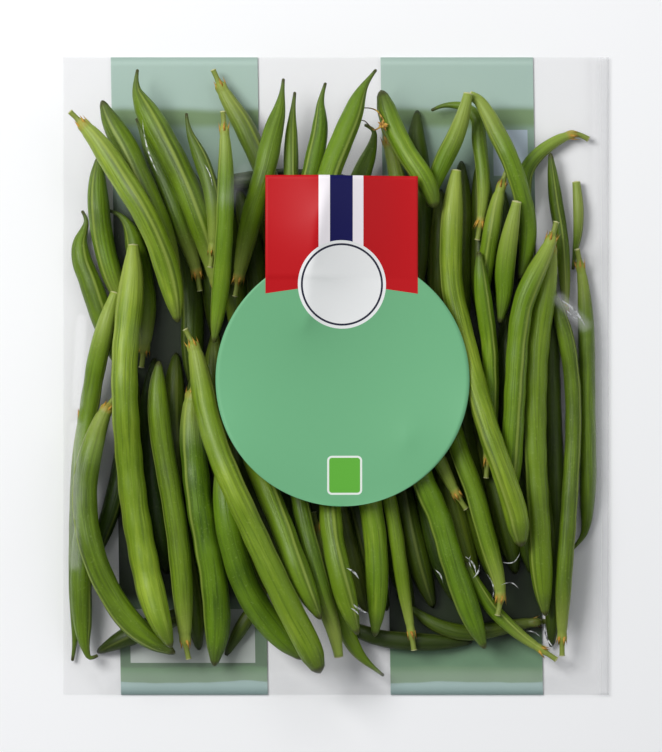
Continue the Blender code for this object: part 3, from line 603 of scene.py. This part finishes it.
def bean_skin(name, unshaded_share):
    """Satin bean skin: streaks along the pod, a seam, a paler neck and a yellowish cap; a share below 1
    mixes in painted shade.
    """
    g = Graph(name)
    run = g.split(g.attribute("run").outputs["Vector"])
    ends = g.split(g.attribute("ends").outputs["Vector"])
    tone = g.split(g.attribute("tone").outputs["Vector"])
    place = g.place()
    streak_place = g.join(g.math("MULTIPLY", run[0], STREAK_STRETCH), g.math("ADD", run[1], tone[2]), run[2])
    streak = g.noise(streak_place, *STREAK_NOISE)
    fine_place = g.join(g.math("MULTIPLY", run[0], FINE_STRETCH), g.math("ADD", run[1], tone[2]), run[2])
    fine = g.noise(fine_place, *FINE_NOISE)
    patch = g.noise(place, *PATCH_NOISE)
    speck = g.noise(place, *SPECK_NOISE)
    value = g.math("MULTIPLY_ADD", patch, 0.7, g.math("MULTIPLY_ADD", streak, 0.7, -0.70))
    value = g.math("ADD", value, g.math("MULTIPLY_ADD", tone[0], 0.80, 0.02))
    low = g.mix(g.ramp(value, *LOW_TONES), BEAN_DEEP, BEAN_MIDDLE)
    colour = g.mix(g.ramp(value, *HIGH_TONES), low, BEAN_BRIGHT)
    colour = g.mix(g.math("MULTIPLY", tone[1], YELLOWED_SHARE), colour, BEAN_YELLOWED)
    # Long dark wrinkles: the colour darkens where the bump sinks into them.
    wrinkle_along = g.math("MULTIPLY", run[0], WRINKLE_STRETCH)
    wrinkle_place = g.join(wrinkle_along, g.math("ADD", run[1], tone[1]), run[2])
    wrinkle = g.ramp(g.noise(wrinkle_place, *WRINKLE_NOISE), *WRINKLE_EDGE)
    colour = g.mix(g.math("MULTIPLY", wrinkle, WRINKLE_SHARE), colour, WRINKLE_DARK)
    # Seam: a fine pale line with a darker edge.
    seam = g.ramp(run[1], *SEAM_LINE)
    seam_edge = g.ramp(run[1], *SEAM_EDGE)
    colour = g.mix(g.math("MULTIPLY", seam_edge, SEAM_EDGE_SHARE), colour, SEAM_DARK)
    colour = g.mix(g.math("MULTIPLY", seam, SEAM_SHARE), colour, SEAM_PALE)
    # Paler neck, yellowish cap under the stalk, grey-green tail.
    opened = g.math("GREATER_THAN", ends[2], CUT_KIND / 2)
    neck = g.math("MULTIPLY", g.ramp(ends[0], *NECK_FADE), opened)
    colour = g.mix(g.math("MULTIPLY", neck, NECK_SHARE), colour, NECK_PALE)
    tail = g.ramp(ends[1], *TAIL_FADE)
    colour = g.mix(g.math("MULTIPLY", tail, TAIL_SHARE), colour, TAIL_GREY)
    dark_tip = g.ramp(ends[1], *TIP_FADE)
    colour = g.mix(g.math("MULTIPLY", dark_tip, TIP_SHARE), colour, TIP_BROWN)
    stalked = g.math("GREATER_THAN", ends[2], CUT_KIND)
    cap = g.math("MULTIPLY", g.ramp(ends[0], *CAP_FADE), stalked)
    rusty = g.mix(g.ramp(tone[2], 0.55, 0.85), CAP_GREEN, CAP_RUSTY)
    rough_edge = g.math("MULTIPLY_ADD", fine, 1.1, -0.05, clamp=True)
    colour = g.mix(g.math("MULTIPLY", cap, rough_edge), colour, rusty)
    stalk = g.math("MULTIPLY", g.ramp(ends[0], *STALK_FADE), stalked)
    colour = g.mix(stalk, colour, STALK_GREEN)
    withered = g.mix(fine, SEPAL_YELLOW, SEPAL_BROWN)
    is_sepal = g.math("GREATER_THAN", ends[2], (STALKED_KIND + SEPAL_KIND) / 2)
    colour = g.mix(is_sepal, colour, withered)
    cut = g.math("MULTIPLY", g.ramp(ends[0], *CUT_FADE), opened)
    colour = g.mix(g.math("MULTIPLY", cut, CUT_SHARE), colour, CUT_CREAM)
    colour = g.mix(g.ramp(speck, *SPECK_EDGE, 0.0, SPECK_SHARE), colour, SPECK_PALE)
    # Painted shade: the colour is pulled towards a near-black green, as for pods lying in the shade of those
    # above.
    if unshaded_share < 1.0:
        colour = g.mix(1.0 - unshaded_share, colour, PAINTED_SHADE_GREEN)
    g.put(colour, g.shader.inputs["Base Color"])
    g.put(g.math("MULTIPLY_ADD", fine, 0.22, 0.27), g.shader.inputs["Roughness"])
    g.shader.inputs["Specular IOR Level"].default_value = BEAN_GLOSS
    height = g.math("ADD", g.math("MULTIPLY", fine, 0.6), g.math("MULTIPLY", speck, 0.25))
    height = g.math("MULTIPLY_ADD", wrinkle, -0.8, height)
    g.put(g.bump(height, BEAN_BUMP, BEAN_BUMP_HEIGHT), g.shader.inputs["Normal"])
    return g.material


# Withered calyx: pointed tips round a small heart, and two tendrils. Places and sizes are in mm.
CALYX_PLACE = (14.2, 75.6)
CALYX_OVER = 0.5
CALYX_SEED = 77
CALYX_TIPS = 13
CALYX_TURN = 0.2
CALYX_REACH = (0.9, 2.3)
CALYX_LIFT = (0.1, 1.1)
CALYX_BOW = 2.4
CALYX_SHARES = (0, 0.35, 0.7, 1)
CALYX_RADII = (0.50, 0.45, 0.28, 0.06)
TENDRILS = [
    [(14.0, 77.6), (12.0, 80.2), (9.6, 80.9), (7.6, 80.8)],
    [(13.6, 75.4), (11.6, 74.2), (9.8, 75.8), (8.6, 77.0), (7.4, 77.2)],
]
TENDRIL_STEPS = 14
TENDRIL_UNDER = 0.2
TENDRIL_DROP = 2.2
TENDRIL_RADIUS = 0.26
TENDRIL_TAPER = 0.12
# Across the object in metres: tendrils darken from the first place to the second.
TENDRIL_DARK = (0.0125, 0.0095)
CALYX_YELLOW = srgb(232, 190, 84)
CALYX_BROWN = srgb(150, 98, 40)
TENDRIL_BROWN = srgb(70, 58, 34)


def thorn(points, faces, line, radii, sides=6):
    """A closed tapering tube along a line."""
    first = len(points)
    ring = np.arange(sides) * math.tau / sides
    tangent = np.gradient(line, axis=0)
    tangent /= np.linalg.norm(tangent, axis=1)[:, None]
    side = np.cross(tangent, (0.0, 0.0, 1.0)) + 1e-6
    side /= np.linalg.norm(side, axis=1)[:, None]
    over = np.cross(side, tangent)
    for place, r, a, b in zip(line, radii, side, over):
        points.extend(place + r * (math.cos(t) * a + math.sin(t) * b) for t in ring)
    last = first + (len(line) - 1) * sides
    for low in range(first, last, sides):
        for j in range(sides):
            k = (j + 1) % sides
            faces.append((low + j, low + k, low + sides + k, low + sides + j))
    faces.append(tuple(first + j for j in reversed(range(sides))))
    faces.append(tuple(last + j for j in range(sides)))


def calyx_skin():
    """Dry yellow and brown, with dark tendrils."""
    g = Graph("withered_calyx")
    grain = g.noise(g.place(), 900.0, 3.0, 0.6)
    colour = g.mix(g.ramp(grain, 0.35, 0.65), CALYX_YELLOW, CALYX_BROWN)
    across = g.split(g.place())[0]
    dark = g.ramp(across, *TENDRIL_DARK)
    g.put(g.mix(dark, colour, TENDRIL_BROWN), g.shader.inputs["Base Color"])
    g.shader.inputs["Roughness"].default_value = 0.7
    g.put(g.bump(grain, 0.3, 0.0002), g.shader.inputs["Normal"])
    return g.material


# Film: a taut sheet over the pods
FILM_STEP = 1.0
FILM_CLEAR = 0.3
FILM_SKIN = 0.1
FILM_VEIL = 0.015
FILM_INSET = 0.3
FILM_ROUNDS = 1500
FILM_ROUGHNESS = 0.16
SHEEN_SHARE = 0.95
SHEEN_WHITE_FROM = 0.12
MILKY_WHITE = (0.97, 0.97, 0.98)
NOTHING_THERE = -99.0
RIM_HEIGHT = 0.9
CREASE_HEIGHT = 0.12
CREASE_OVER = 0.06
CREASE_STEPS = 14
# A crease is never quite without width: its ends start this far into the swell.
CREASE_POINT = 0.03


def pod_tops(xs, ys):
    """Highest pod surface over each grid point, in mm."""
    top = np.full((len(xs), len(ys)), NOTHING_THERE)
    step = xs[1] - xs[0]
    for x, y, z, r in pod_spheres:
        i0 = max(0, int((x - r - xs[0]) / step))
        i1 = min(len(xs), int((x + r - xs[0]) / step) + 2)
        j0 = max(0, int((y - r - ys[0]) / step))
        j1 = min(len(ys), int((y + r - ys[0]) / step) + 2)
        d2 = (xs[i0:i1, None] - x) ** 2 + (ys[None, j0:j1] - y) ** 2
        lift = np.where(d2 < r * r, z + np.sqrt(np.maximum(r * r - d2, 0)), NOTHING_THERE)
        top[i0:i1, j0:j1] = np.maximum(top[i0:i1, j0:j1], lift)
    return top


def settle(height, least, rounds):
    for _ in range(rounds):
        mean = (height[2:, 1:-1] + height[:-2, 1:-1] + height[1:-1, 2:] + height[1:-1, :-2]) / 4
        height[1:-1, 1:-1] = np.maximum(least[1:-1, 1:-1], mean)
    return height


def bilinear(xs, ys, values, x, y):
    step_x, step_y = xs[1] - xs[0], ys[1] - ys[0]
    u = np.clip((x - xs[0]) / step_x, 0, len(xs) - 1.001)
    v = np.clip((y - ys[0]) / step_y, 0, len(ys) - 1.001)
    i, j = u.astype(int), v.astype(int)
    u, v = u - i, v - j
    low = values[i, j] * (1 - v) + values[i, j + 1] * v
    return low * (1 - u) + (values[i + 1, j] * (1 - v) + values[i + 1, j + 1] * v) * u


def two_skins(name, x, y, under, over, skin):
    """A closed thin sheet between two height grids."""
    columns, rows = x.shape
    lower = np.stack([x, y, under], axis=-1).reshape(-1, 3)
    upper = np.stack([x, y, over], axis=-1).reshape(-1, 3)
    lift = columns * rows
    faces = []
    for i in range(columns - 1):
        for j in range(rows - 1):
            a = i * rows + j
            faces.append((a, a + 1, a + rows + 1, a + rows))
            faces.append((a + lift, a + rows + lift, a + rows + 1 + lift, a + 1 + lift))
    edge = [i * rows for i in range(columns)]
    edge += [(columns - 1) * rows + j for j in range(1, rows)]
    edge += [i * rows + rows - 1 for i in range(columns - 2, -1, -1)]
    edge += list(range(rows - 2, 0, -1))
    for a, b in zip(edge, edge[1:] + edge[:1]):
        faces.append((a, b, b + lift, a + lift))
    return add_mesh(name, np.concatenate([lower, upper]), faces, skin)


def film_skin(name):
    """Clear film: all but see-through, with a weak gloss, and painted white where it has a painted sheen."""
    g = Graph(name)
    sheen = g.split(g.attribute("painted_sheen").outputs["Vector"])[0]
    sheen_white = g.ramp(sheen, 0.0, SHEEN_WHITE_FROM)
    g.put(g.mix(sheen_white, (0.0, 0.0, 0.0), MILKY_WHITE), g.shader.inputs["Base Color"])
    g.put(g.math("MULTIPLY_ADD", sheen, SHEEN_SHARE, FILM_VEIL), g.shader.inputs["Alpha"])
    g.shader.inputs["Roughness"].default_value = FILM_ROUGHNESS
    crease = g.noise(g.place(), 90.0, 2.0, 0.5)
    g.put(g.bump(crease, 0.10, 0.0006), g.shader.inputs["Normal"])
    return g.material


# Painted sheen on the front film, drawn as a white haze where the clear film catches light: both ends in
# plan units, half width in mm and how white.
SHEEN_MARKS = [
    (79, 27, 88, 18, 1.8, 0.28), (-37, 62, -32, 72, 3.0, 0.08),
    (-92, -18, -92.5, -66, 2.4, 0.15), (-90, 20, -91.5, -10, 1.8, 0.20),
    (96, 118, 96.5, 0, 3.6, 0.34), (96.5, 0, 96, -118, 3.6, 0.34),
    (-80, -108, 90, -108, 4.0, 0.16),
]
# Creases in the front film, each painted white as a highlight: both ends in plan units, bow sideways and
# half width in mm.
CREASE_HIGHLIGHTS = [
    (3.7, -67.2, 8, -71, 0.5, 0.36), (5.6, -79.5, 11.4, -83.3, -0.4, 0.38),
    (5.0, -81.2, 8.2, -84.0, 0.3, 0.22), (34.6, -67.8, 37.6, -72.6, 0.5, 0.24),
    (45.4, -63.4, 49.2, -69.7, 0.9, 0.26), (47.2, -63.0, 47.6, -67.4, -0.5, 0.18),
    (50.4, -66.4, 48.2, -71, 0.5, 0.24), (53.1, -69.7, 55, -78.8, 1.1, 0.22),
    (58.1, -65.3, 64.6, -62, -1.7, 0.18), (58.1, -73.5, 64.4, -74.9, 1.3, 0.18),
    (67, -90, 72, -92, 0.6, 0.2), (73.5, -87.5, 77.4, -96.6, -0.9, 0.26),
    (79, 27, 88, 18, 0.8, 0.45), (80.2, 24.6, 86.4, 19.4, -0.5, 0.22),
    (-68, 90, -62, 70, -0.9, 0.22), (-46, 74, -43, 66, 0.5, 0.16),
]


def painted_sheen(x, y):
    """For each film point, how white the painted sheen makes it."""
    sheen = np.zeros(x.shape)
    for x0, y0, x1, y1, half, white in SHEEN_MARKS:
        a = np.array([x0, y0]) * PLAN_UNIT
        way = np.array([x1, y1]) * PLAN_UNIT - a
        share = np.clip(((x - a[0]) * way[0] + (y - a[1]) * way[1]) / (way @ way), 0, 1)
        off = np.hypot(x - a[0] - share * way[0], y - a[1] - share * way[1])
        sheen = np.maximum(sheen, white * bell(off, 0.0, half))
    return sheen


def crease_highlight_skin():
    """Painted highlight: white along a crease of the film, broken by a fine noise."""
    g = Graph("crease_highlight_skin")
    g.shader.inputs["Base Color"].default_value = (0.90, 0.92, 0.92, 1.0)
    g.shader.inputs["Roughness"].default_value = 0.30
    broken = g.ramp(g.noise(g.place(), 700.0, 2.0, 0.5), 0.34, 0.66, 0.04, 0.60)
    g.put(broken, g.shader.inputs["Alpha"])
    return g.material


skin = bean_skin("bean_skin", 1.0)
# The lowest layer's skin has painted shade in its colour.
low_shaded_skin = bean_skin("bean_skin_painted_shade", LOW_UNSHADED_SHARE)
pod_nodes = sorted(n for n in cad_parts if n.startswith("pod_"))
for number, node in enumerate(pod_nodes):
    centres, radii = rings_of(node)
    made = fine_pod(centres, radii, POD_SEED + number, POD_STEP, POD_LIGHT[number])
    pod_piece(node.replace("pod", "bean"), [made], skin, node)
low_made = []
for number, row in enumerate(LOW_PODS):
    low_made.append(fine_pod(*low_rings(*row), LOW_POD_SEED + number, LOW_POD_STEP))
pod_piece("beans_low", low_made, low_shaded_skin, "low_pods")

# The withered calyx at the top of the bundle
near = [q for q in pod_spheres if math.hypot(q[0] - CALYX_PLACE[0], q[1] - CALYX_PLACE[1]) < q[3]]
heart = np.array([*CALYX_PLACE, max(q[2] + q[3] for q in near) + CALYX_OVER])
rng = np.random.default_rng(CALYX_SEED)
calyx_points = []
calyx_faces = []
for number in range(CALYX_TIPS):
    turn = number * math.tau / CALYX_TIPS + rng.uniform(-CALYX_TURN, CALYX_TURN)
    reach = rng.uniform(*CALYX_REACH)
    lift = rng.uniform(*CALYX_LIFT)
    way = np.array([math.cos(turn), math.sin(turn), 0.0])
    line = []
    for share in CALYX_SHARES:
        line.append(heart + way * reach * share + (0, 0, lift * math.sin(share * CALYX_BOW)))
    thorn(calyx_points, calyx_faces, np.array(line), CALYX_RADII)
share = np.linspace(0, 1, TENDRIL_STEPS)
for corners in TENDRILS:
    plan = np.array(corners)
    steps = np.concatenate([[0.0], np.cumsum(np.linalg.norm(np.diff(plan, axis=0), axis=1))])
    plan = spline(plan, steps, share * steps[-1])
    line = np.column_stack([plan, heart[2] - TENDRIL_UNDER - TENDRIL_DROP * share])
    thorn(calyx_points, calyx_faces, line, TENDRIL_RADIUS - TENDRIL_TAPER * share)
calyx = add_mesh("withered_calyx", calyx_points, calyx_faces, calyx_skin())
piece(calyx, "pod_skin")
for place in calyx_points:
    keep_under_film(place)

# The front film
_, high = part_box("film_front")
half_x = high.x / MM - FILM_INSET
half_y = high.y / MM - FILM_INSET
xs = np.linspace(-half_x, half_x, int(2 * half_x / FILM_STEP) + 1)
ys = np.linspace(-half_y, half_y, int(2 * half_y / FILM_STEP) + 1)
least = np.maximum(pod_tops(xs, ys) + FILM_CLEAR, RIM_HEIGHT)
least[[0, -1], :] = RIM_HEIGHT
least[:, [0, -1]] = RIM_HEIGHT
film_z = settle(least.copy(), least, FILM_ROUNDS)
grid_x, grid_y = np.meshgrid(xs, ys, indexing="ij")
front = two_skins("front_film", grid_x, grid_y, film_z, film_z + FILM_SKIN, film_skin("front_film_skin"))
# Painted sheen: how white each point of the front film is painted.
sheen = painted_sheen(grid_x, grid_y).ravel()
marks = np.zeros((2 * sheen.size, 3))
marks[sheen.size:, 0] = sheen
store(front.data, "painted_sheen", marks)
piece(front, "clear_film", "film_front")

# Each crease is a slim raised sliver, pointed at both ends, with a painted highlight on it.
crease_points = []
crease_faces = []
share = np.linspace(0, 1, CREASE_STEPS)
for x0, y0, x1, y1, bow, half in CREASE_HIGHLIGHTS:
    start = np.array([x0, y0]) * PLAN_UNIT
    way = np.array([x1, y1]) * PLAN_UNIT - start
    across = np.array([-way[1], way[0]]) / np.linalg.norm(way)
    middle = start + share[:, None] * way + (bow * np.sin(math.pi * share))[:, None] * across
    slim = (half * np.sin(math.pi * np.clip(share, CREASE_POINT, 1 - CREASE_POINT)))[:, None] * across
    first = len(crease_points)
    for line, lift in ((middle - slim, 0.0), (middle, CREASE_HEIGHT), (middle + slim, 0.0)):
        z = bilinear(xs, ys, film_z, line[:, 0], line[:, 1]) + FILM_SKIN + CREASE_OVER + lift
        crease_points.extend(np.column_stack([line, z]))
    for line, lift in ((middle - slim, 0.0), (middle + slim, 0.0)):
        z = bilinear(xs, ys, film_z, line[:, 0], line[:, 1]) + FILM_SKIN + 0.5 * CREASE_OVER
        crease_points.extend(np.column_stack([line, z]))
    rows = [first + k * CREASE_STEPS for k in (0, 1, 2, 4, 3)]
    for a, b in zip(rows, rows[1:] + rows[:1]):
        for i in range(CREASE_STEPS - 1):
            crease_faces.append((a + i, a + i + 1, b + i + 1, b + i))
    crease_faces.append(tuple(rows))
    crease_faces.append(tuple(row + CREASE_STEPS - 1 for row in reversed(rows)))
creases = add_mesh("film_creases", crease_points, crease_faces, crease_highlight_skin())
piece(creases, "clear_film")


# Back film with its two printed bands. Places are in mm across and along the bag.
LEFT_BAND = (-68.6, -23.9)
RIGHT_BAND = (13.6, 60.0)
BAND_LEAN = -0.016
LEAN_FROM = 97.0
BAND_WOBBLE = 3.0
SAGE_FROM = (80.0, 83.0)
OLIVE_BELOW = (74.5, 77.5)
OLIVE_ABOVE = (82.5, 80.5)
# Along the bag in mm: below these the bands carry painted shade.
PAINTED_SHADE_BELOW = (46.0, 62.0)
RIGHT_GREEN_BELOW = (-77.0, -86.0)
LEFT_GREEN_BELOW = (-66.0, -71.0)
GREEN_BELOW = (-88.2, -89.2)
BLUE_BELOW = (-93.0, -93.6)
PANEL_ACROSS = (-65.5, -27.5)
PANEL_ALONG = (-87.4, -71.0)
PATCH_ACROSS = (47.5, 58.0)
PATCH_ALONG = (61.0, 75.0)
PATCH_SHARE = 0.8
SAGE = (srgb(166, 194, 182), srgb(184, 204, 192))
# Painted shade on the bands, where the pods lie over them.
BAND_PAINTED_SHADE = (srgb(24, 36, 12), srgb(38, 52, 24))
BAND_UPPER = (srgb(134, 160, 144), srgb(160, 184, 168))
BAND_BLUE = (srgb(158, 190, 184), srgb(172, 198, 192))
OLIVE_PAINTED_SHADE = srgb(124, 150, 108)
RIGHT_GREEN = srgb(116, 150, 118)
LEFT_GREEN = srgb(112, 134, 110)
END_GREEN = srgb(122, 154, 118)
PANEL_GREY = srgb(196, 202, 196)
PATCH_BLUE = srgb(198, 210, 230)
CLEAR_ALPHA = 0.02
BAND_ALPHA = 0.96
BACK_ROUGHNESS = 0.35


def back_skin():
    """Clear film with two printed bands, each with paler ends; on each, painted shade makes an olive line
    below its top and a near-black zone further down, under the pods.
    """
    g = Graph("back_film_skin")
    x, y = g.plan_mm()
    wobble = g.math("MULTIPLY_ADD", g.noise(g.place(), 45.0), BAND_WOBBLE, -BAND_WOBBLE / 2)
    lean = g.math("MULTIPLY", g.math("SUBTRACT", y, LEAN_FROM), BAND_LEAN)
    across = g.math("SUBTRACT", x, lean)
    left = g.between(across, *LEFT_BAND)
    right = g.between(across, *RIGHT_BAND)
    band = g.math("ADD", left, right, clamp=True)
    cloud = g.noise(g.place(), 18.0)
    wavy = g.math("ADD", y, wobble)
    # Painted shade: an olive line a little below the band's top, where the pods' ends shade it.
    line = g.math("MULTIPLY", g.ramp(y, *OLIVE_BELOW), g.ramp(y, *OLIVE_ABOVE))
    # Painted shade: below the wavy edge the print turns near-black, as if shaded by the pods over it.
    colour = g.mix(g.ramp(wavy, *PAINTED_SHADE_BELOW), g.mix(cloud, *BAND_PAINTED_SHADE), g.mix(cloud, *BAND_UPPER))
    colour = g.mix(line, colour, OLIVE_PAINTED_SHADE)
    colour = g.mix(g.ramp(wavy, *SAGE_FROM), colour, g.mix(cloud, *SAGE))
    colour = g.mix(g.math("MULTIPLY", right, g.ramp(wavy, *RIGHT_GREEN_BELOW)), colour, RIGHT_GREEN)
    colour = g.mix(g.math("MULTIPLY", left, g.ramp(y, *LEFT_GREEN_BELOW)), colour, LEFT_GREEN)
    colour = g.mix(g.ramp(wavy, *GREEN_BELOW), colour, END_GREEN)
    colour = g.mix(g.ramp(wavy, *BLUE_BELOW), colour, g.mix(cloud, *BAND_BLUE))
    panel = g.math("MULTIPLY", g.between(across, *PANEL_ACROSS), g.between(y, *PANEL_ALONG))
    colour = g.mix(panel, colour, PANEL_GREY)
    patch = g.math("MULTIPLY", g.between(across, *PATCH_ACROSS), g.between(y, *PATCH_ALONG))
    colour = g.mix(g.math("MULTIPLY", patch, PATCH_SHARE), colour, PATCH_BLUE)
    g.put(g.mix(band, MILKY_WHITE, colour), g.shader.inputs["Base Color"])
    g.shader.inputs["Roughness"].default_value = BACK_ROUGHNESS
    alpha = g.ramp(band, 0.0, 1.0, CLEAR_ALPHA, BAND_ALPHA, smooth=False)
    g.put(alpha, g.shader.inputs["Alpha"])
    return g.material


BACK_LOW = 0.02
BACK_TOP = 0.4
back_across = np.linspace(-half_x, half_x, 60)
back_along = np.linspace(-half_y, half_y, 70)
back_x, back_y = np.meshgrid(back_across, back_along, indexing="ij")
back_low = np.full_like(back_x, BACK_LOW)
back_top = np.full_like(back_x, BACK_TOP)
back = two_skins("back_film", back_x, back_y, back_low, back_top, back_skin())
piece(back, "printed_film", "film_back")


# Label. Places are in mm across and along the bag.
TAG_MIDDLE = 1.8
TAG_TAIL = 28.0
TAG_TAIL_SLOPE = -0.145
RIBBON_WHITE = (-5.2, 8.2)
RIBBON_NAVY = (-1.8, 5.0)
BADGE_Y = 27.4
BADGE_RADIUS = 13.2
BADGE_RING = (11.7, 12.3)
MARK_CENTRE = (2.6, -29.8)
MARK_CORE = (3.8, 4.4)
MARK_BORDER = 1.45
MARK_FILL = 0.85
LABEL_GREEN = (srgb(112, 178, 130), srgb(122, 186, 140))
TAG_RED = srgb(190, 16, 24)
RIBBON_PALE = srgb(248, 242, 246)
RIBBON_BLUE = srgb(16, 16, 84)
BADGE_PALE = srgb(240, 241, 240)
BADGE_LINE = srgb(40, 42, 60)
MARK_PALE = srgb(232, 238, 230)
MARK_GREEN = srgb(98, 176, 60)
LABEL_ROUGHNESS = 0.45
LABEL_GLOSS = 0.22


def label_skin():
    """Coated paper: a green disc, and a red tag with a white and navy ribbon and a blank round badge."""
    g = Graph("label_print")
    x, y = g.plan_mm()

    def root_of_squares(a, b):
        return g.math("SQRT", g.math("ADD", g.math("POWER", a, 2.0), g.math("POWER", b, 2.0)))

    def beyond(value, reach):
        return g.math("MAXIMUM", g.math("SUBTRACT", g.math("ABSOLUTE", value), reach), 0.0)

    paper = g.noise(g.place(), 580.0, 3.0, 0.6)
    green = g.mix(g.math("MULTIPLY", paper, 0.15), *LABEL_GREEN)
    dx = g.math("ABSOLUTE", g.math("SUBTRACT", x, TAG_MIDDLE))
    tail_edge = g.math("MULTIPLY_ADD", dx, TAG_TAIL_SLOPE, TAG_TAIL)
    tag = g.math("MULTIPLY", g.between(x, TAG_LEFT, TAG_RIGHT), g.math("GREATER_THAN", y, tail_edge))
    ribbon = g.mix(g.between(x, *RIBBON_WHITE), TAG_RED, RIBBON_PALE)
    ribbon = g.mix(g.between(x, *RIBBON_NAVY), ribbon, RIBBON_BLUE)
    colour = g.mix(tag, green, ribbon)
    badge = root_of_squares(dx, g.math("SUBTRACT", y, BADGE_Y))
    colour = g.mix(g.math("LESS_THAN", badge, BADGE_RADIUS), colour, BADGE_PALE)
    colour = g.mix(g.between(badge, *BADGE_RING), colour, BADGE_LINE)
    mark_x = beyond(g.math("SUBTRACT", x, MARK_CENTRE[0]), MARK_CORE[0])
    mark_y = beyond(g.math("SUBTRACT", y, MARK_CENTRE[1]), MARK_CORE[1])
    mark = root_of_squares(mark_x, mark_y)
    colour = g.mix(g.math("LESS_THAN", mark, MARK_BORDER), colour, MARK_PALE)
    colour = g.mix(g.math("LESS_THAN", mark, MARK_FILL), colour, MARK_GREEN)
    g.put(colour, g.shader.inputs["Base Color"])
    g.shader.inputs["Roughness"].default_value = LABEL_ROUGHNESS
    g.shader.inputs["Specular IOR Level"].default_value = LABEL_GLOSS
    g.put(g.bump(paper, 0.05, 0.0002), g.shader.inputs["Normal"])
    return g.material


LABEL_STEPS = 60
LABEL_FIRST_TURN = -89.0
LABEL_LAST_TURN = 52.6
LABEL_TURNS = 70
TAG_STEPS = 26
TAG_GAP = 0.4
LABEL_ROUNDS = 160
LABEL_OVER = 0.05
LABEL_THICKNESS = 0.12
label_rows = []
for turn in np.radians(np.linspace(LABEL_FIRST_TURN, LABEL_LAST_TURN, LABEL_TURNS)):
    half = LABEL_RADIUS * math.cos(turn)
    y = LABEL_CENTRE[1] + LABEL_RADIUS * math.sin(turn)
    label_rows.append((LABEL_CENTRE[0] - half, LABEL_CENTRE[0] + half, y))
for y in np.linspace(label_rows[-1][2] + TAG_GAP, TAG_TOP, TAG_STEPS):
    label_rows.append((TAG_LEFT, TAG_RIGHT, y))
label_x = np.array([np.linspace(a, b, LABEL_STEPS) for a, b, _ in label_rows]).T
label_y = np.array([[y] * LABEL_STEPS for _, _, y in label_rows]).T
label_least = bilinear(xs, ys, film_z, label_x, label_y) + FILM_SKIN + LABEL_OVER
label_z = label_least.copy()
for _ in range(LABEL_ROUNDS):
    wide = np.pad(label_z, 1, mode="edge")
    mean = (wide[2:, 1:-1] + wide[:-2, 1:-1] + wide[1:-1, 2:] + wide[1:-1, :-2]) / 4
    label_z = np.maximum(label_least, mean)
label_top = label_z + LABEL_THICKNESS
label = two_skins("label_sticker", label_x, label_y, label_z, label_top, label_skin())
piece(label, "label_face", "label")


# Floor, light and camera
FLOOR_HALF = 3000
FLOOR_Z = -0.2
CAMERA_HEIGHT = 1.4
FOCUS_PLANE = 0.022
SENSOR = 36.0
# The bag stands this many pixels right of the image's middle.
SIDEWAYS_PIXELS = 5
WORLD_COLOUR = (0.92, 0.95, 1.0, 1.0)
WORLD_LIGHT = 0.28


def floor_skin():
    g = Graph("floor_skin")
    cloud = g.noise(g.place(), 6.0)
    g.put(g.mix(cloud, (0.93, 0.93, 0.935), (0.95, 0.95, 0.953)), g.shader.inputs["Base Color"])
    g.shader.inputs["Roughness"].default_value = 0.7
    return g.material


def softbox(name, place, size, power):
    """A rectangular light, in metres and watts, aimed at the origin."""
    data = bpy.data.lights.new(name, "AREA")
    data.shape = "RECTANGLE"
    data.size, data.size_y = size
    data.energy = power
    made = bpy.data.objects.new(name, data)
    made.location = place
    made.rotation_euler = (-Vector(place)).to_track_quat("-Z", "Y").to_euler()
    scene.collection.objects.link(made)


corners = [(-1, -1), (1, -1), (1, 1), (-1, 1)]
floor_points = [(x * FLOOR_HALF, y * FLOOR_HALF, FLOOR_Z) for x, y in corners]
floor = add_mesh("floor", floor_points, [(0, 1, 2, 3)], floor_skin(), smooth=False)

softbox("softbox_left", (-0.62, 0.40, 0.95), (0.50, 0.6), 10.8)
softbox("softbox_right", (0.80, 0.10, 0.70), (0.30, 0.9), 1.0)
softbox("softbox_top", (0.0, 0.85, 0.85), (0.8, 0.3), 2.2)

world = bpy.data.worlds.new("studio")
world.use_nodes = True
world.node_tree.nodes["Background"].inputs[0].default_value = WORLD_COLOUR
world.node_tree.nodes["Background"].inputs[1].default_value = WORLD_LIGHT
scene.world = world

camera_data = bpy.data.cameras.new("camera")
camera = bpy.data.objects.new("camera", camera_data)
scene.collection.objects.link(camera)
camera_data.sensor_width = SENSOR
camera_data.lens = SENSOR * (CAMERA_HEIGHT - FOCUS_PLANE) / (IMAGE_HEIGHT * MM_PER_PIXEL * MM)
camera.location = (-SIDEWAYS_PIXELS * MM_PER_PIXEL * MM, 0.0, CAMERA_HEIGHT)
camera.rotation_euler = (0.0, 0.0, 0.0)
camera_data.clip_start = 0.05
camera_data.clip_end = 20.0
scene.camera = camera
